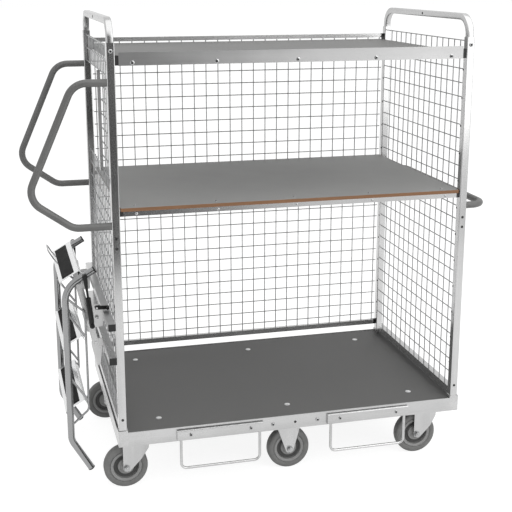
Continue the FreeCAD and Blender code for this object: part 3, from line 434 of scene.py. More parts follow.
def bent_tube(name, radius, points, bends, sides=20, section=None):
    """A bar through points, with a bend radius at each inner point, round unless a section is given."""
    points = [Vector(point) for point in points]
    heading = (points[1] - points[0]).normalized()
    count = len(section) if section else sides
    bpy.ops.mesh.primitive_circle_add(vertices=count, radius=radius, fill_type="NGON")
    tube = bpy.context.active_object
    for vertex, corner in zip(tube.data.vertices, section or ()):
        vertex.co = (corner.x, corner.y, 0)
    tube.rotation_mode = "QUATERNION"
    tube.rotation_quaternion = heading.to_track_quat("Z", "Y")
    tube.location = points[0]
    settle(tube)
    edit(tube, "FACE")
    bpy.ops.mesh.select_all(action="SELECT")
    here = points[0]
    for corner, following, bend in zip(points[1:], points[2:], bends):
        onward = (following - corner).normalized()
        turn = heading.angle(onward)
        reach = bend * math.tan(turn / 2)
        start = corner - heading * reach
        bpy.ops.mesh.extrude_region_move(TRANSFORM_OT_translate={"value": start - here})
        axis = heading.cross(onward).normalized()
        centre = start + axis.cross(heading) * bend
        steps = max(4, round(math.degrees(turn) / DEGREES_A_FACET))
        bpy.ops.mesh.spin(steps=steps, angle=-turn, center=centre, axis=axis)
        here = corner + onward * reach
        heading = onward
    bpy.ops.mesh.extrude_region_move(TRANSFORM_OT_translate={"value": points[-1] - here})
    return closed(tube, name)


coat = Finish("grey_powder_coat", "grey_tube")
peel = coat.noise(700, 2, 0.5)
dust = coat.noise(9, 4, 0.6)
coat.set(
    Base_Color=coat.blend(dust.above(0.52, 0.25), (0.118, 0.118, 0.116), (0.15, 0.15, 0.147)),
    Roughness=peel * 0.18 + dust * 0.12 + 0.3)
coat.bump(peel, 0.0002, 0.4)
GRIP_RADIUS = 0.0125
HANDLE_BEND = 0.066
POST_Y = 0.39
# Each point is a reach out from the post and a height.
HANDLE_ROUTE = ((0, 1.472), (0.108, 1.472), (0.273, 1.099), (0.125, 0.994), (0, 0.994))
handle_root_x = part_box("post_front_left")[0].x
for side, across in SIDES:
    points = [(handle_root_x - reach, POST_Y * across, height) for reach, height in HANDLE_ROUTE]
    handle = bent_tube(f"push_handle_{side}", GRIP_RADIUS, points, (HANDLE_BEND,) * 3)
    fit(handle, coat, "frame", f"handle_{side}")


# Push bar: a U of the same coated steel tube across the right end, bent at its two corners. Its
# ends butt on the right posts, level with the lower ends of the handles.
PUSH_HEIGHT = 0.995
PUSH_REACH = 0.0815
PUSH_BEND = 0.06
push_root_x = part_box("post_front_right")[1].x
route = ((0, -POST_Y), (PUSH_REACH, -POST_Y), (PUSH_REACH, POST_Y), (0, POST_Y))
points = [(push_root_x + reach, y, PUSH_HEIGHT) for reach, y in route]
fit(bent_tube("push_bar_tube", GRIP_RADIUS, points, (PUSH_BEND,) * 2), coat, "frame", "push_bar")


# End hoops: square steel tube bent to an inverted U and zinc plated. The legs are pushed down
# inside the post tops, so the tube is a little narrower than the posts.
POST_X = 0.63
HOOP_HALF = 0.0118
HOOP_ROUNDING = 0.004
HOOP_FOOT = 1.54
HOOP_TOP = 1.668
HOOP_BEND = 0.064


def rounded_square(half, rounding):
    """Corner points of a square tube's section, four to a corner."""
    section = []
    for quarter in range(4):
        quarter_turn = Matrix.Rotation(math.radians(90 * quarter), 2)
        middle = quarter_turn @ Vector((half - rounding, half - rounding))
        for step in range(4):
            angle = math.radians(90 * quarter + 30 * step)
            section.append(middle + rounding * Vector((math.cos(angle), math.sin(angle))))
    return section


hoop_section = rounded_square(HOOP_HALF, HOOP_ROUNDING)
route = ((-POST_Y, HOOP_FOOT), (-POST_Y, HOOP_TOP), (POST_Y, HOOP_TOP), (POST_Y, HOOP_FOOT))
for end, along in ENDS:
    points = [(middle_x + POST_X * along, y, height) for y, height in route]
    hoop = bent_tube(f"end_hoop_{end}", HOOP_HALF, points, (HOOP_BEND,) * 2, section=hoop_section)
    fit(hoop, zinc_crossways, "frame", f"hoop_{end}")


# Stirrups: a cover folded from sheet and bolted to the rail, with a bent rod loop welded under
# it. There are two on each long rail. A narrow slot is left open along the top of each cover.
AXES = {"x": (1, 2, 0), "y": (0, 2, 1), "z": (0, 1, 2)}


def eased(corners):
    """An outline whose corners are rounded, in four steps, where they carry a third value."""
    steps = 4
    points = []
    for index, corner in enumerate(corners):
        here = Vector(corner[:2])
        if len(corner) == 2:
            points.append(here)
            continue
        rounding = corner[2]
        back = (Vector(corners[index - 1][:2]) - here).normalized()
        onward = (Vector(corners[(index + 1) % len(corners)][:2]) - here).normalized()
        half = back.angle(onward) / 2
        centre = here + (back + onward).normalized() * rounding / math.sin(half)
        first = here + back * rounding / math.tan(half) - centre
        last = here + onward * rounding / math.tan(half) - centre
        for step in range(steps + 1):
            points.append(centre + first.slerp(last, step / steps).normalized() * rounding)
    return points


def pressed(name, corners, along, low, high):
    """A piece with one outline all along an axis, between two levels."""
    outline = eased(corners)
    across, up, onward = AXES[along]
    bpy.ops.mesh.primitive_circle_add(vertices=len(outline), radius=1, fill_type="NGON")
    piece = bpy.context.active_object
    for vertex, point in zip(piece.data.vertices, outline):
        vertex.co[across] = point.x
        vertex.co[up] = point.y
        vertex.co[onward] = low
    pull = Vector((0, 0, 0))
    pull[onward] = high - low
    edit(piece, "FACE")
    bpy.ops.mesh.select_all(action="SELECT")
    bpy.ops.mesh.extrude_region_move(TRANSFORM_OT_translate={"value": pull})
    return closed(piece, name, angle=30)


def on_side(corners, across):
    """An outline as drawn for the rear rail, or its mirror image for the front one."""
    return [(corner[0] * across, *corner[1:]) for corner in corners]


RAIL_FACE = 0.407
COVER_FACE = 0.4175
COVER_SHEET = 0.002
COVER_FOOT = 0.201
COVER_TOP = 0.239
COVER_HALF = 0.159
SLOT_EDGE = RAIL_FACE + 0.0035
CHEEK_MARGIN = 0.001
STIRRUP_X = 0.281
LOOP_Y = 0.412
LOOP_HALF = 0.145
LOOP_TOP = 0.204
LOOP_FOOT = 0.091
LOOP_RADIUS = 0.005
LOOP_BEND = 0.02
cover_inside = COVER_FACE - COVER_SHEET
cover_fold = [(RAIL_FACE, COVER_FOOT), (COVER_FACE, COVER_FOOT, 0.003), (COVER_FACE, COVER_TOP, 0.003),
              (SLOT_EDGE, COVER_TOP), (SLOT_EDGE, COVER_TOP - COVER_SHEET),
              (cover_inside, COVER_TOP - COVER_SHEET, 0.001),
              (cover_inside, COVER_FOOT + COVER_SHEET, 0.001), (RAIL_FACE, COVER_FOOT + COVER_SHEET)]
cheek_face = COVER_FACE - CHEEK_MARGIN
cheek_outline = [(RAIL_FACE, COVER_FOOT + CHEEK_MARGIN), (cheek_face, COVER_FOOT + CHEEK_MARGIN),
                 (cheek_face, COVER_TOP - CHEEK_MARGIN), (RAIL_FACE, COVER_TOP - CHEEK_MARGIN)]
route = ((-LOOP_HALF, LOOP_TOP), (-LOOP_HALF, LOOP_FOOT), (LOOP_HALF, LOOP_FOOT), (LOOP_HALF, LOOP_TOP))
for side, across in SIDES:
    pieces = []
    for _, along in ENDS:
        x = middle_x + STIRRUP_X * along
        points = [(x + reach, LOOP_Y * across, height) for reach, height in route]
        pieces.append(bent_tube("loop", LOOP_RADIUS, points, (LOOP_BEND,) * 2, sides=14))
        pieces.append(pressed("cover", on_side(cover_fold, across), "x", x - COVER_HALF, x + COVER_HALF))
        for cheek in (x - COVER_HALF, x + COVER_HALF - COVER_SHEET):
            pieces.append(pressed("cheek", on_side(cheek_outline, across), "x", cheek, cheek + COVER_SHEET))
    fit(joined(f"stirrup_pair_{side}", pieces), zinc_lengthways, "frame", f"stirrups_{side}")


# Castor wheels: a grey rubber tyre on a moulded hub, with a rim, a thin web and a boss with
# the axle bore. The web is coloured near black as painted shade, for the shade in the hub's
# recess. They are turned shapes, drawn as half an outline and spun round the axle.
CASTOR_Y = 0.309
SWIVEL_X = 0.564
TRAIL = 0.050
AXLE_HEIGHT = 0.08
WHEEL_X = (("left", -SWIVEL_X - TRAIL), ("middle", 0.0), ("right", SWIVEL_X - TRAIL))


def turned(name, outline, steps=48):
    """A shape of revolution about the y axis from points of radius and width."""
    bpy.ops.mesh.primitive_circle_add(vertices=len(outline), radius=1, fill_type="NOTHING")
    shape = bpy.context.active_object
    for vertex, (radius, width) in zip(shape.data.vertices, outline):
        vertex.co = (radius, width, 0)
    edit(shape)
    bpy.ops.mesh.select_all(action="SELECT")
    bpy.ops.mesh.spin(steps=steps, angle=2 * math.pi, center=(0, 0, 0), axis=(0, 1, 0))
    return closed(shape, name, angle=35)


def both_halves(half):
    """A whole outline from the half on one side of the wheel."""
    return half + [(radius, -width) for radius, width in reversed(half)]


rubber = Finish("grey_rubber", "grey_rubber")
grime = rubber.noise(24, 4, 0.65)
fine = rubber.noise(1500, 2, 0.6)
rubber.set(
    Base_Color=rubber.blend(grime.above(0.5, 0.25), (0.165, 0.165, 0.162), (0.215, 0.215, 0.211)),
    Roughness=fine * 0.2 + 0.55)
rubber.bump(fine, 0.0002, 0.35)
hub_grey = Finish("hub_grey", "grey_rubber")
cast = hub_grey.noise(300, 3, 0.6)
hub_grey.set(
    Base_Color=hub_grey.blend(cast, (0.25, 0.25, 0.247), (0.33, 0.33, 0.326)), Roughness=cast * 0.2 + 0.35)
hub_grey.bump(cast, 0.0002, 0.3)
# Painted shade: the web's near-black colour stands for the shade in the recess between rim and boss.
web_painted_shade = Finish("web_painted_shade", "grey_rubber")
web_shade_mottle = web_painted_shade.noise(70, 4, 0.65)
web_painted_shade.set(
    Base_Color=web_painted_shade.blend(web_shade_mottle, (0.045, 0.045, 0.044), (0.09, 0.09, 0.088)),
    Roughness=web_shade_mottle * 0.25 + 0.45)
web_painted_shade.bump(web_shade_mottle, 0.0002, 0.3)

tyre_half = [(0.0800, 0.0105), (0.0788, 0.0150), (0.0755, 0.0185), (0.0700, 0.0199), (0.0630, 0.0194),
             (0.0605, 0.0180), (0.0585, 0.0172), (0.0572, 0.0120)]
rim_half = [(0.0575, 0.0150), (0.0570, 0.0178), (0.0550, 0.0188), (0.0500, 0.0180), (0.0465, 0.0160),
            (0.0450, 0.0040)]
boss_half = [(0.0302, 0.0040), (0.0295, 0.0140), (0.0280, 0.0152), (0.0240, 0.0148), (0.0232, 0.0136),
             (0.0205, 0.0136), (0.0197, 0.0150), (0.0170, 0.0158), (0.0158, 0.0170), (0.0155, 0.0245),
             (0.0145, 0.0255), (0.0065, 0.0255)]
web_half = [(0.0455, 0.0058), (0.0435, 0.0045), (0.0320, 0.0045), (0.0298, 0.0058)]
tyre = turned("tyre", both_halves(tyre_half), 64)
hub = joined("hub", [turned("rim", both_halves(rim_half)), turned("boss", both_halves(boss_half))])
web = turned("web", both_halves(web_half))
for side, across in SIDES:
    for end, along in WHEEL_X:
        place = (middle_x + along, CASTOR_Y * across, AXLE_HEIGHT)
        body = f"wheel_{side}_{end}_body"
        fit(copied(tyre, place, name=f"tyre_{side}_{end}"), rubber, body, f"wheel_{side}_{end}")
        fit(copied(hub, place, name=f"hub_{side}_{end}"), hub_grey, body)
        fit(copied(web, place, name=f"hub_web_{side}_{end}"), web_painted_shade, body)
discard(tyre, hub, web)


# Fasteners: zinc plated bolts with a hexagon socket, low-headed screws, and black discs over the spare
# holes of posts, rails and hoops, with a row of small ones down the inner side of each post. These
# discs, and a black disc in each bolt's socket, are painted shade for the dark inside of the holes
# and sockets. Each is drawn facing the rear and then turned to its face.
CORE = 0.0004
UP = Matrix.Rotation(math.pi / 2, 4, "X")
DOWN = Matrix.Rotation(-math.pi / 2, 4, "X")


def facing_side(across):
    """The turn that sets a head on the front, at -1, or leaves it on the rear, at 1."""
    return Matrix.Rotation(math.pi, 4, "Z") if across < 0 else Matrix()


def hexagon(name, across, height):
    """A hexagon head standing on the plane y = 0, with its edges eased."""
    bpy.ops.mesh.primitive_cylinder_add(
        vertices=6, radius=across / math.sqrt(3), depth=height, location=(0, height / 2, 0),
        rotation=(math.pi / 2, 0, 0))
    head = bpy.context.active_object
    edit(head, "EDGE")
    bpy.ops.mesh.select_all(action="SELECT")
    bpy.ops.mesh.bevel(offset=height * 0.12, segments=2)
    bpy.ops.object.mode_set(mode="OBJECT")
    head.name = name
    return settle(head, angle=30)


button = turned("button", [(CORE, 0), (0.0075, 0), (0.0075, 0.0008), (0.0066, 0.0026), (0.0050, 0.0037),
                           (0.0039, 0.0041), (0.0038, 0.0010), (CORE, 0.0009)], 20)
low_head = turned("low_head", [(CORE, 0), (0.0075, 0), (0.0074, 0.0006), (0.0058, 0.0012),
                               (0.0040, 0.0015), (0.0038, 0.0005), (CORE, 0.0004)], 20)
# Painted shade: the socket is a black hexagon disc in the head's recess, standing for the shade inside it.
socket = turned("socket", [(CORE, 0.0002), (0.0037, 0.0002), (0.0037, 0.0012), (CORE, 0.0012)], 6)
small_hole_shade = turned("small_hole_shade", [(CORE, 0), (0.0038, 0), (0.0038, 0.0006), (CORE, 0.0006)], 12)
screw = turned("screw", [(CORE, 0), (0.0050, 0), (0.0048, 0.0009), (0.0032, 0.0018), (0.0013, 0.0021),
                         (0.0012, 0.0012), (CORE, 0.0012)], 16)
pan = turned("pan", [(CORE, 0), (0.0105, 0), (0.0102, 0.0012), (0.0075, 0.0024), (0.0040, 0.0029),
                     (CORE, 0.0030)], 24)
# Painted shade: these black discs stand for the dark inside of open holes in posts, rails and hoops.
hole_shade = turned("hole_shade", [(CORE, 0), (0.0050, 0), (0.0049, 0.0005), (0.0042, 0.0008), (0.0036, 0.0003),
                       (CORE, 0.0003)], 16)
small_nut = hexagon("small_nut", across=0.0125, height=0.005)
bolts = []
sockets = []
pans = []
hole_shades = []


def bolt(head, place, turn):
    """A bolt's head, with a black disc in its socket painted as the shade there."""
    bolts.append(copied(head, place, turn))
    sockets.append(copied(socket, place, turn))


PLATE_FOOT = 0.192
NUT_X = 0.040
SWIVEL_NUT_Y = 0.034


def plate_nuts(x, y, reach_y):
    """The four nuts under a castor's top plate."""
    return [copied(small_nut, (x + nut_x, y + nut_y, PLATE_FOOT), DOWN)
            for nut_x in (-NUT_X, NUT_X) for nut_y in (-reach_y, reach_y)]


POST_FACE = 0.404
POST_BOLT_HEIGHT = 1.573
POST_HOLE_HEIGHTS = (0.297, 0.917, 0.953)
RAIL_BOLT_X = 0.085
RAIL_HOLE_HEIGHT = 0.221
COVER_BOLT_XS = (0.170, 0.391)
COVER_BOLT_HEIGHT = 0.220
SMALL_HOLE_X = 0.616
SMALL_HOLE_Y = 0.381
DECK_SCREW_X = 0.487
DECK_SCREW_Y = 0.301
DECK_TOP = 0.245
LIP_FACE = 0.400
LIP_SCREW_PITCH = 0.28
TOP_LIP_HEIGHT = 1.535
SHELF_LIP_HEIGHT = 1.0345
SHELF_SCREW_Y = 0.362
SHELF_TOP = 1.055
for _, across in SIDES:
    outward = facing_side(across)
    for _, along in ENDS:
        post_x = middle_x + POST_X * along
        bolt(button, (post_x, POST_FACE * across, POST_BOLT_HEIGHT), outward)
        for height in POST_HOLE_HEIGHTS:
            hole_shades.append(copied(hole_shade, (post_x, POST_FACE * across, height), outward))
        bolt(button, (middle_x + RAIL_BOLT_X * along, RAIL_FACE * across, RAIL_HOLE_HEIGHT), outward)
        for reach in COVER_BOLT_XS:
            bolt(low_head, (middle_x + reach * along, COVER_FACE * across, COVER_BOLT_HEIGHT), outward)
        inward = Matrix.Rotation(math.pi / 2 * along, 4, "Z")
        for level in range(1, END_LEVELS - 2, 2):
            place = (middle_x + SMALL_HOLE_X * along, SMALL_HOLE_Y * across, level_foot + level * PITCH)
            hole_shades.append(copied(small_hole_shade, place, inward))
        pans.append(copied(pan, (middle_x + DECK_SCREW_X * along, DECK_SCREW_Y * across, DECK_TOP), UP))
    hole_shades.append(copied(hole_shade, (middle_x, RAIL_FACE * across, RAIL_HOLE_HEIGHT), outward))
    pans.append(copied(pan, (middle_x, DECK_SCREW_Y * across, DECK_TOP), UP))
forward = facing_side(-1)
for index in range(-2, 3):
    x = middle_x + LIP_SCREW_PITCH * index
    bolt(low_head, (x, -LIP_FACE, TOP_LIP_HEIGHT), forward)
    bolts.append(copied(screw, (x, -LIP_FACE, SHELF_LIP_HEIGHT), forward))
    bolts.append(copied(screw, (x, -SHELF_SCREW_Y, SHELF_TOP), UP))
for _, along in ENDS:
    for face in (-1, 1):
        turn = Matrix.Rotation(-math.pi / 2 * face, 4, "Z")
        hole_shades.append(copied(hole_shade, (middle_x + POST_X * along + HOOP_HALF * face, 0, HOOP_TOP), turn))
    for _, across in SIDES:
        bolts += plate_nuts(middle_x + SWIVEL_X * along, CASTOR_Y * across, SWIVEL_NUT_Y)
# bolt_steel is a darker copy of the zinc plating, painted shade so that bolt heads, nuts and axle ends show
# dark.
bolt_steel = Finish("bolt_steel", "zinc_steel")
turning = bolt_steel.noise(260, 3, 0.6)
bolt_steel.set(
    Base_Color=bolt_steel.blend(turning, (0.34, 0.342, 0.343), (0.5, 0.503, 0.505)),
    Metallic=0.9, Roughness=turning * 0.16 + 0.16)
# The deck screws' steel is a near-white copy of the zinc: painted highlight for the bright heads.
screw_steel_painted_light = Finish("screw_steel_painted_light", "zinc_steel")
screw_painted_light_mottle = screw_steel_painted_light.noise(300, 3, 0.6)
screw_steel_painted_light.set(
    Base_Color=screw_steel_painted_light.blend(screw_painted_light_mottle, (0.72, 0.722, 0.725), (0.86, 0.862, 0.865)),
    Metallic=0.6, Roughness=screw_painted_light_mottle * 0.2 + 0.2)
fit(joined("frame_fasteners", bolts), bolt_steel, "frame")
fit(joined("deck_screws", pans), screw_steel_painted_light, "frame")
# The hole discs and socket discs are black plastic: painted shade.
fit(joined("hole_shade_discs", hole_shades), plastic, "frame")
fit(joined("bolt_socket_shades", sockets), plastic, "frame")
discard(button, low_head, socket, small_hole_shade, screw, pan, hole_shade)


# Swivel castor forks: one steel pressing each, with a crown that carries the ball race and two
# legs whose leading edge is folded in. The axle bolt has a washer and a nut at each side.
LEG_IN = 0.026
LEG_OUT = 0.0305
LEG_FOOT = 0.066
CROWN = 0.170
CROWN_SHEET = 0.005
FORK_BACK = -0.062
FORK_NOSE = 0.036
FOLD_X = 0.004
FOLD_LEAN = 33
WASHER_THICK = 0.0016


def ease_rims(piece, along, edge):
    """Round over the rims of a pressed piece's two faces."""
    pick_faces(piece, lambda polygon: abs(polygon.normal[AXES[along][2]]) > 0.8)
    bpy.ops.mesh.region_to_loop()
    bpy.ops.mesh.bevel(offset=edge, segments=2)
    bpy.ops.object.mode_set(mode="OBJECT")
    return settle(piece, angle=30)


def fold(piece, line, onward, lean, side):
    """Fold a leg in by so many degrees beyond an upright line."""
    edit(piece)
    bpy.ops.mesh.select_all(action="SELECT")
    bpy.ops.mesh.bisect(plane_co=(line, 0, 0), plane_no=(1, 0, 0))
    bpy.ops.object.mode_set(mode="OBJECT")
    for vertex in piece.data.vertices:
        past = (vertex.co.x - line) * onward
        if past > 0:
            vertex.co.y -= side * past * math.tan(math.radians(lean))


def legs(outline, folds):
    """The two legs of a fork, one each side of its wheel."""
    pair = []
    for side in (-1, 1):
        leg = pressed("leg", outline, "y", *sorted((LEG_IN * side, LEG_OUT * side)))
        for line, onward, lean in folds:
            fold(leg, line, onward, lean, side)
        pair.append(ease_rims(leg, "y", edge=0.001))
    return pair


washer_outline = [(0.0062, 0), (0.0125, 0), (0.0125, 0.0012), (0.0122, WASHER_THICK), (0.0062, WASHER_THICK)]
tip_outline = [(CORE, 0), (0.0056, 0), (0.0056, 0.0125), (0.0048, 0.0132), (CORE, 0.0132)]
washer = turned("washer", washer_outline, 24)
axle_tip = turned("axle_tip", tip_outline, 20)
nut = hexagon("nut", across=0.0185, height=0.009)


def axle_ends(x):
    """The washer, the nut and the tip at each end of an axle bolt."""
    ends = []
    for side in (-1, 1):
        turn = facing_side(side)
        on_leg = (x, LEG_OUT * side, AXLE_HEIGHT)
        on_washer = (x, (LEG_OUT + WASHER_THICK) * side, AXLE_HEIGHT)
        ends += [copied(washer, on_leg, turn), copied(nut, on_washer, turn), copied(axle_tip, on_leg, turn)]
    return ends


crown_outline = [(FORK_BACK, -LEG_OUT, 0.006), (FORK_NOSE, -LEG_OUT, 0.014), (FORK_NOSE, LEG_OUT, 0.014),
                 (FORK_BACK, LEG_OUT, 0.006)]
crown = ease_rims(pressed("crown", crown_outline, "z", CROWN - CROWN_SHEET, CROWN), "z", edge=0.0012)
race_outline = [(CORE, CROWN), (0.034, CROWN), (0.034, CROWN + 0.0075), (0.0325, CROWN + 0.0098),
                (0.0305, CROWN + 0.0106), (CORE, CROWN + 0.0106)]
race = turned("race", race_outline, 40)
race.data.transform(UP)
leg_outline = [(FORK_NOSE, CROWN), (FORK_BACK, CROWN), (FORK_BACK, LEG_FOOT, 0.011),
               (-0.038, LEG_FOOT, 0.011), (FORK_NOSE, 0.142, 0.012)]
fork = joined("fork", [crown, race] + legs(leg_outline, ((FOLD_X, 1, FOLD_LEAN),)))
axle = joined("axle", axle_ends(-TRAIL))
for side, across in SIDES:
    for end, along in ENDS:
        place = (middle_x + SWIVEL_X * along, CASTOR_Y * across, 0)
        body = f"castor_{side}_{end}"
        one_fork = copied(fork, place, name=f"castor_fork_{side}_{end}")
        fit(one_fork, zinc_upright, body, f"fork_{side}_{end}")
        fit(copied(axle, place, name=f"axle_bolt_{side}_{end}"), bolt_steel, body)
discard(fork, axle)


# Fixed middle castors: top plate and fork in one. Each leg is a flat strip down to the axle
# with a wing folded in on both sides of it.
BASE_FOOT = 0.196
PLATE_X = 0.05
PLATE_Y = 0.043
WING_X = 0.017
WING_LEAN = 27
FIXED_NUT_Y = 0.0365
plate_outline = [(-PLATE_X, -PLATE_Y, 0.006), (PLATE_X, -PLATE_Y, 0.006), (PLATE_X, PLATE_Y, 0.006),
                 (-PLATE_X, PLATE_Y, 0.006)]
plate = ease_rims(pressed("plate", plate_outline, "z", PLATE_FOOT, BASE_FOOT), "z", edge=0.0008)
leg_top = BASE_FOOT - 0.001
leg_outline = [(PLATE_X, leg_top), (-PLATE_X, leg_top), (-PLATE_X, 0.178, 0.004), (-0.012, LEG_FOOT, 0.011),
               (0.012, LEG_FOOT, 0.011), (PLATE_X, 0.178, 0.004)]
pair = legs(leg_outline, ((WING_X, 1, WING_LEAN), (-WING_X, -1, WING_LEAN)))
fork = joined("fixed_fork", [plate] + pair + plate_nuts(0, 0, FIXED_NUT_Y))
axle = joined("fixed_axle", axle_ends(0))
for side, across in SIDES:
    place = (middle_x, CASTOR_Y * across, 0)
    one_fork = copied(fork, place, name=f"castor_fork_{side}_middle")
    fit(one_fork, zinc_upright, "frame", f"fork_{side}_middle")
    fit(copied(axle, place, name=f"axle_bolt_{side}_middle"), bolt_steel, "frame")
discard(fork, axle, washer, axle_tip, nut)


# Ladder stiles: bare aluminium tubes bent at top and bottom. Short pegs welded to them carry the
# swing links on the inside and the struts on the outside.
aluminium = Finish("bare_aluminium", "bare_aluminium")
drawn = aluminium.noise(20, 4, 0.6, aluminium.stretched((1.0, 1.0, 0.05)))
marks = aluminium.noise(7, 4, 0.6)
# This aluminium is coloured much darker than bare metal: painted shade for the dark surroundings that the
# stiles, pull loop and brace rods reflect.
aluminium.set(
    Base_Color=aluminium.blend(drawn * 0.6 + marks * 0.4, (0.25, 0.252, 0.254), (0.38, 0.383, 0.386)),
    Metallic=0.96, Roughness=drawn * 0.14 + marks * 0.08 + 0.08)
aluminium.bump(drawn, 0.0002, 0.2)
TILT = math.radians(30)
STILE_RADIUS = 0.0125
STILE_X = middle_x - 0.798
STILE_Y = 0.225
STILE_TOP = 0.740
STILE_FOOT = 0.160
STILE_BENDS = (0.09, 0.06)
ARM_RUN = 0.120
FOOT_RUN = 0.1345
LINK_TOP = (middle_x - 0.748, 0.757)
STRUT_TOP = (middle_x - 0.728, 0.785)


def peg(name, place, across, radius, span):
    """A short round peg on one side of the ladder, its ends eased."""
    low, high = sorted(y * across for y in span)
    ease = radius * 0.12
    outline = [(CORE, low), (radius - ease, low), (radius, low + ease), (radius, high - ease),
               (radius - ease, high), (CORE, high)]
    piece = turned(name, outline, 24)
    piece.data.transform(Matrix.Translation((place[0], 0, place[1])))
    return piece


arm_end = (STILE_X + ARM_RUN * math.cos(TILT), STILE_TOP + ARM_RUN * math.sin(TILT))
foot_end = (STILE_X + FOOT_RUN * math.sin(TILT), STILE_FOOT - FOOT_RUN * math.cos(TILT))
route = (arm_end, (STILE_X, STILE_TOP), (STILE_X, STILE_FOOT), foot_end)
for side, across in SIDES:
    points = [(x, STILE_Y * across, z) for x, z in route]
    pieces = [
        bent_tube("tube", STILE_RADIUS, points, STILE_BENDS, sides=28),
        peg("link_lug", LINK_TOP, across, radius=0.010, span=(0.198, 0.217)),
        peg("link_pin", LINK_TOP, across, radius=0.005, span=(0.188, 0.199)),
        peg("strut_boss", STRUT_TOP, across, radius=0.009, span=(0.233, 0.2415))]
    fit(joined(f"ladder_stile_{side}", pieces), aluminium, "ladder", f"stile_{side}")


# Stile caps: black plastic plugs over the four tube ends, at the tips of the arms and at the
# feet. Each is moulded with a shallow dished face and pushed on.
cap_outline = [(CORE, 0), (0.0128, 0), (0.0130, 0.0006), (0.0130, 0.0030), (0.0122, 0.0040),
               (0.0104, 0.0040), (0.0094, 0.0028), (CORE, 0.0028)]
cap = turned("cap", cap_outline, 32)
caps = []
for _, across in SIDES:
    for spot, heading in ((arm_end, (math.cos(TILT), 0, math.sin(TILT))),
                          (foot_end, (math.sin(TILT), 0, -math.cos(TILT)))):
        turn = Vector(heading).to_track_quat("Y", "Z").to_matrix().to_4x4()
        caps.append(copied(cap, (spot[0], STILE_Y * across, spot[1]), turn))
discard(cap)
fit(joined("stile_end_caps", caps), plastic, "ladder", "stile_caps")


# Treads: channels folded from aluminium sheet, set between the stiles. The top one has a bent wire
# pull loop at its rear end, by which the ladder is drawn out.
sheet = Finish("sheet_aluminium", "bare_aluminium")
brushed = sheet.noise(24, 4, 0.6, sheet.stretched((1.0, 0.05, 1.0)))
sheet.set(
    Base_Color=sheet.blend(brushed, (0.72, 0.724, 0.727), (0.88, 0.885, 0.888)),
    Metallic=0.9, Roughness=brushed * 0.16 + 0.12)
sheet.bump(brushed, 0.0002, 0.15)
TREAD_EDGE_X = middle_x - 0.8155
TREAD_TOP = 0.757
TREAD_PITCH = 0.2455
TREAD_HALF = 0.2122
PULL_RADIUS = 0.0025
PULL_BEND = 0.01
channel = [(0, 0, 0.004), (0.083, 0, 0.004), (0.083, -0.020), (0.081, -0.020), (0.081, -0.002, 0.002),
           (0.002, -0.002, 0.002), (0.002, -0.020), (0, -0.020)]


def at_tread(index):
    """The place and the slope of a tread, counted down from the top one."""
    edge = Matrix.Translation((TREAD_EDGE_X, 0, TREAD_TOP - TREAD_PITCH * index))
    return edge @ Matrix.Rotation(-TILT, 4, "Y")


for index, name in enumerate(("top", "middle", "low")):
    tread = pressed(f"ladder_tread_{name}", channel, "y", -TREAD_HALF, TREAD_HALF)
    tread.data.transform(at_tread(index))
    fit(tread, sheet, "ladder", f"tread_{name}")
route = ((0.1072, -0.001), (0.1072, 0.038), (0.2072, 0.038), (0.2072, -0.001))
points = [(PULL_RADIUS, y, height) for y, height in route]
pull = bent_tube("ladder_pull_loop", PULL_RADIUS, points, (PULL_BEND,) * 2, sides=12)
pull.data.transform(at_tread(0))
fit(pull, aluminium, "ladder")


# Tread pads: black rubber strips glued on the treads. Ten fine ribs run the length of each
# strip, moulded in one with it.
black_rubber = Finish("black_rubber", "black_rubber")
grit = black_rubber.noise(900, 2, 0.6)
scuff = black_rubber.noise(22, 4, 0.6)
black_rubber.set(
    Base_Color=black_rubber.blend(scuff.above(0.55, 0.2), (0.010, 0.010, 0.010), (0.022, 0.022, 0.021)),
    Roughness=grit * 0.25 + 0.6, Specular_IOR_Level=0.22)
black_rubber.bump(grit, 0.0003, 0.5)
PAD_HALF = 0.190
RIB_HALF = PAD_HALF - 0.001
RIB_PITCH = 0.0048
RIBS = 10
strip = [(0.015, 0), (0.063, 0), (0.063, 0.0019, 0.0006), (0.015, 0.0019, 0.0006)]
rib = [(0.0156, 0.0018), (0.0182, 0.0018), (0.0177, 0.0030, 0.0003), (0.0161, 0.0030, 0.0003)]
one_rib = pressed("rib", rib, "y", -RIB_HALF, RIB_HALF)
pieces = [pressed("strip", strip, "y", -PAD_HALF, PAD_HALF)]
pieces += [copied(one_rib, (RIB_PITCH * index, 0, 0)) for index in range(RIBS)]
pad = joined("pad", pieces)
pads = [copied(pad, (0, 0, 0), at_tread(index)) for index in range(3)]
discard(one_rib, pad)
fit(joined("ribbed_pads", pads), black_rubber, "ladder", "tread_pads")


# Brace rods: thin aluminium rods bent out from the stiles past the inner edges of the two lower
# treads, with a stay welded across at each.
BRACE_RADIUS = 0.004
BRACE_BEND = 0.025
BRACE_Y = 0.2083
STAY_OVER_TREAD = 0.034
STAY_RISE = 0.105
knee_x = middle_x - 0.729
route = ((STILE_X, 0.702), (knee_x, 0.640), (knee_x, 0.266), (STILE_X, 0.206))
braces = []
for _, across in SIDES:
    y = BRACE_Y * across
    points = [(x, y, z) for x, z in route]
    braces.append(bent_tube("brace", BRACE_RADIUS, points, (BRACE_BEND,) * 2, sides=12))
    for index in (1, 2):
        knee = TREAD_TOP - TREAD_PITCH * index + STAY_OVER_TREAD
        points = [(knee_x, y, knee), (STILE_X, y, knee + STAY_RISE)]
        braces.append(bent_tube("stay", BRACE_RADIUS, points, (), sides=12))
fit(joined("ladder_brace_rods", braces), aluminium, "ladder", "ladder_braces")


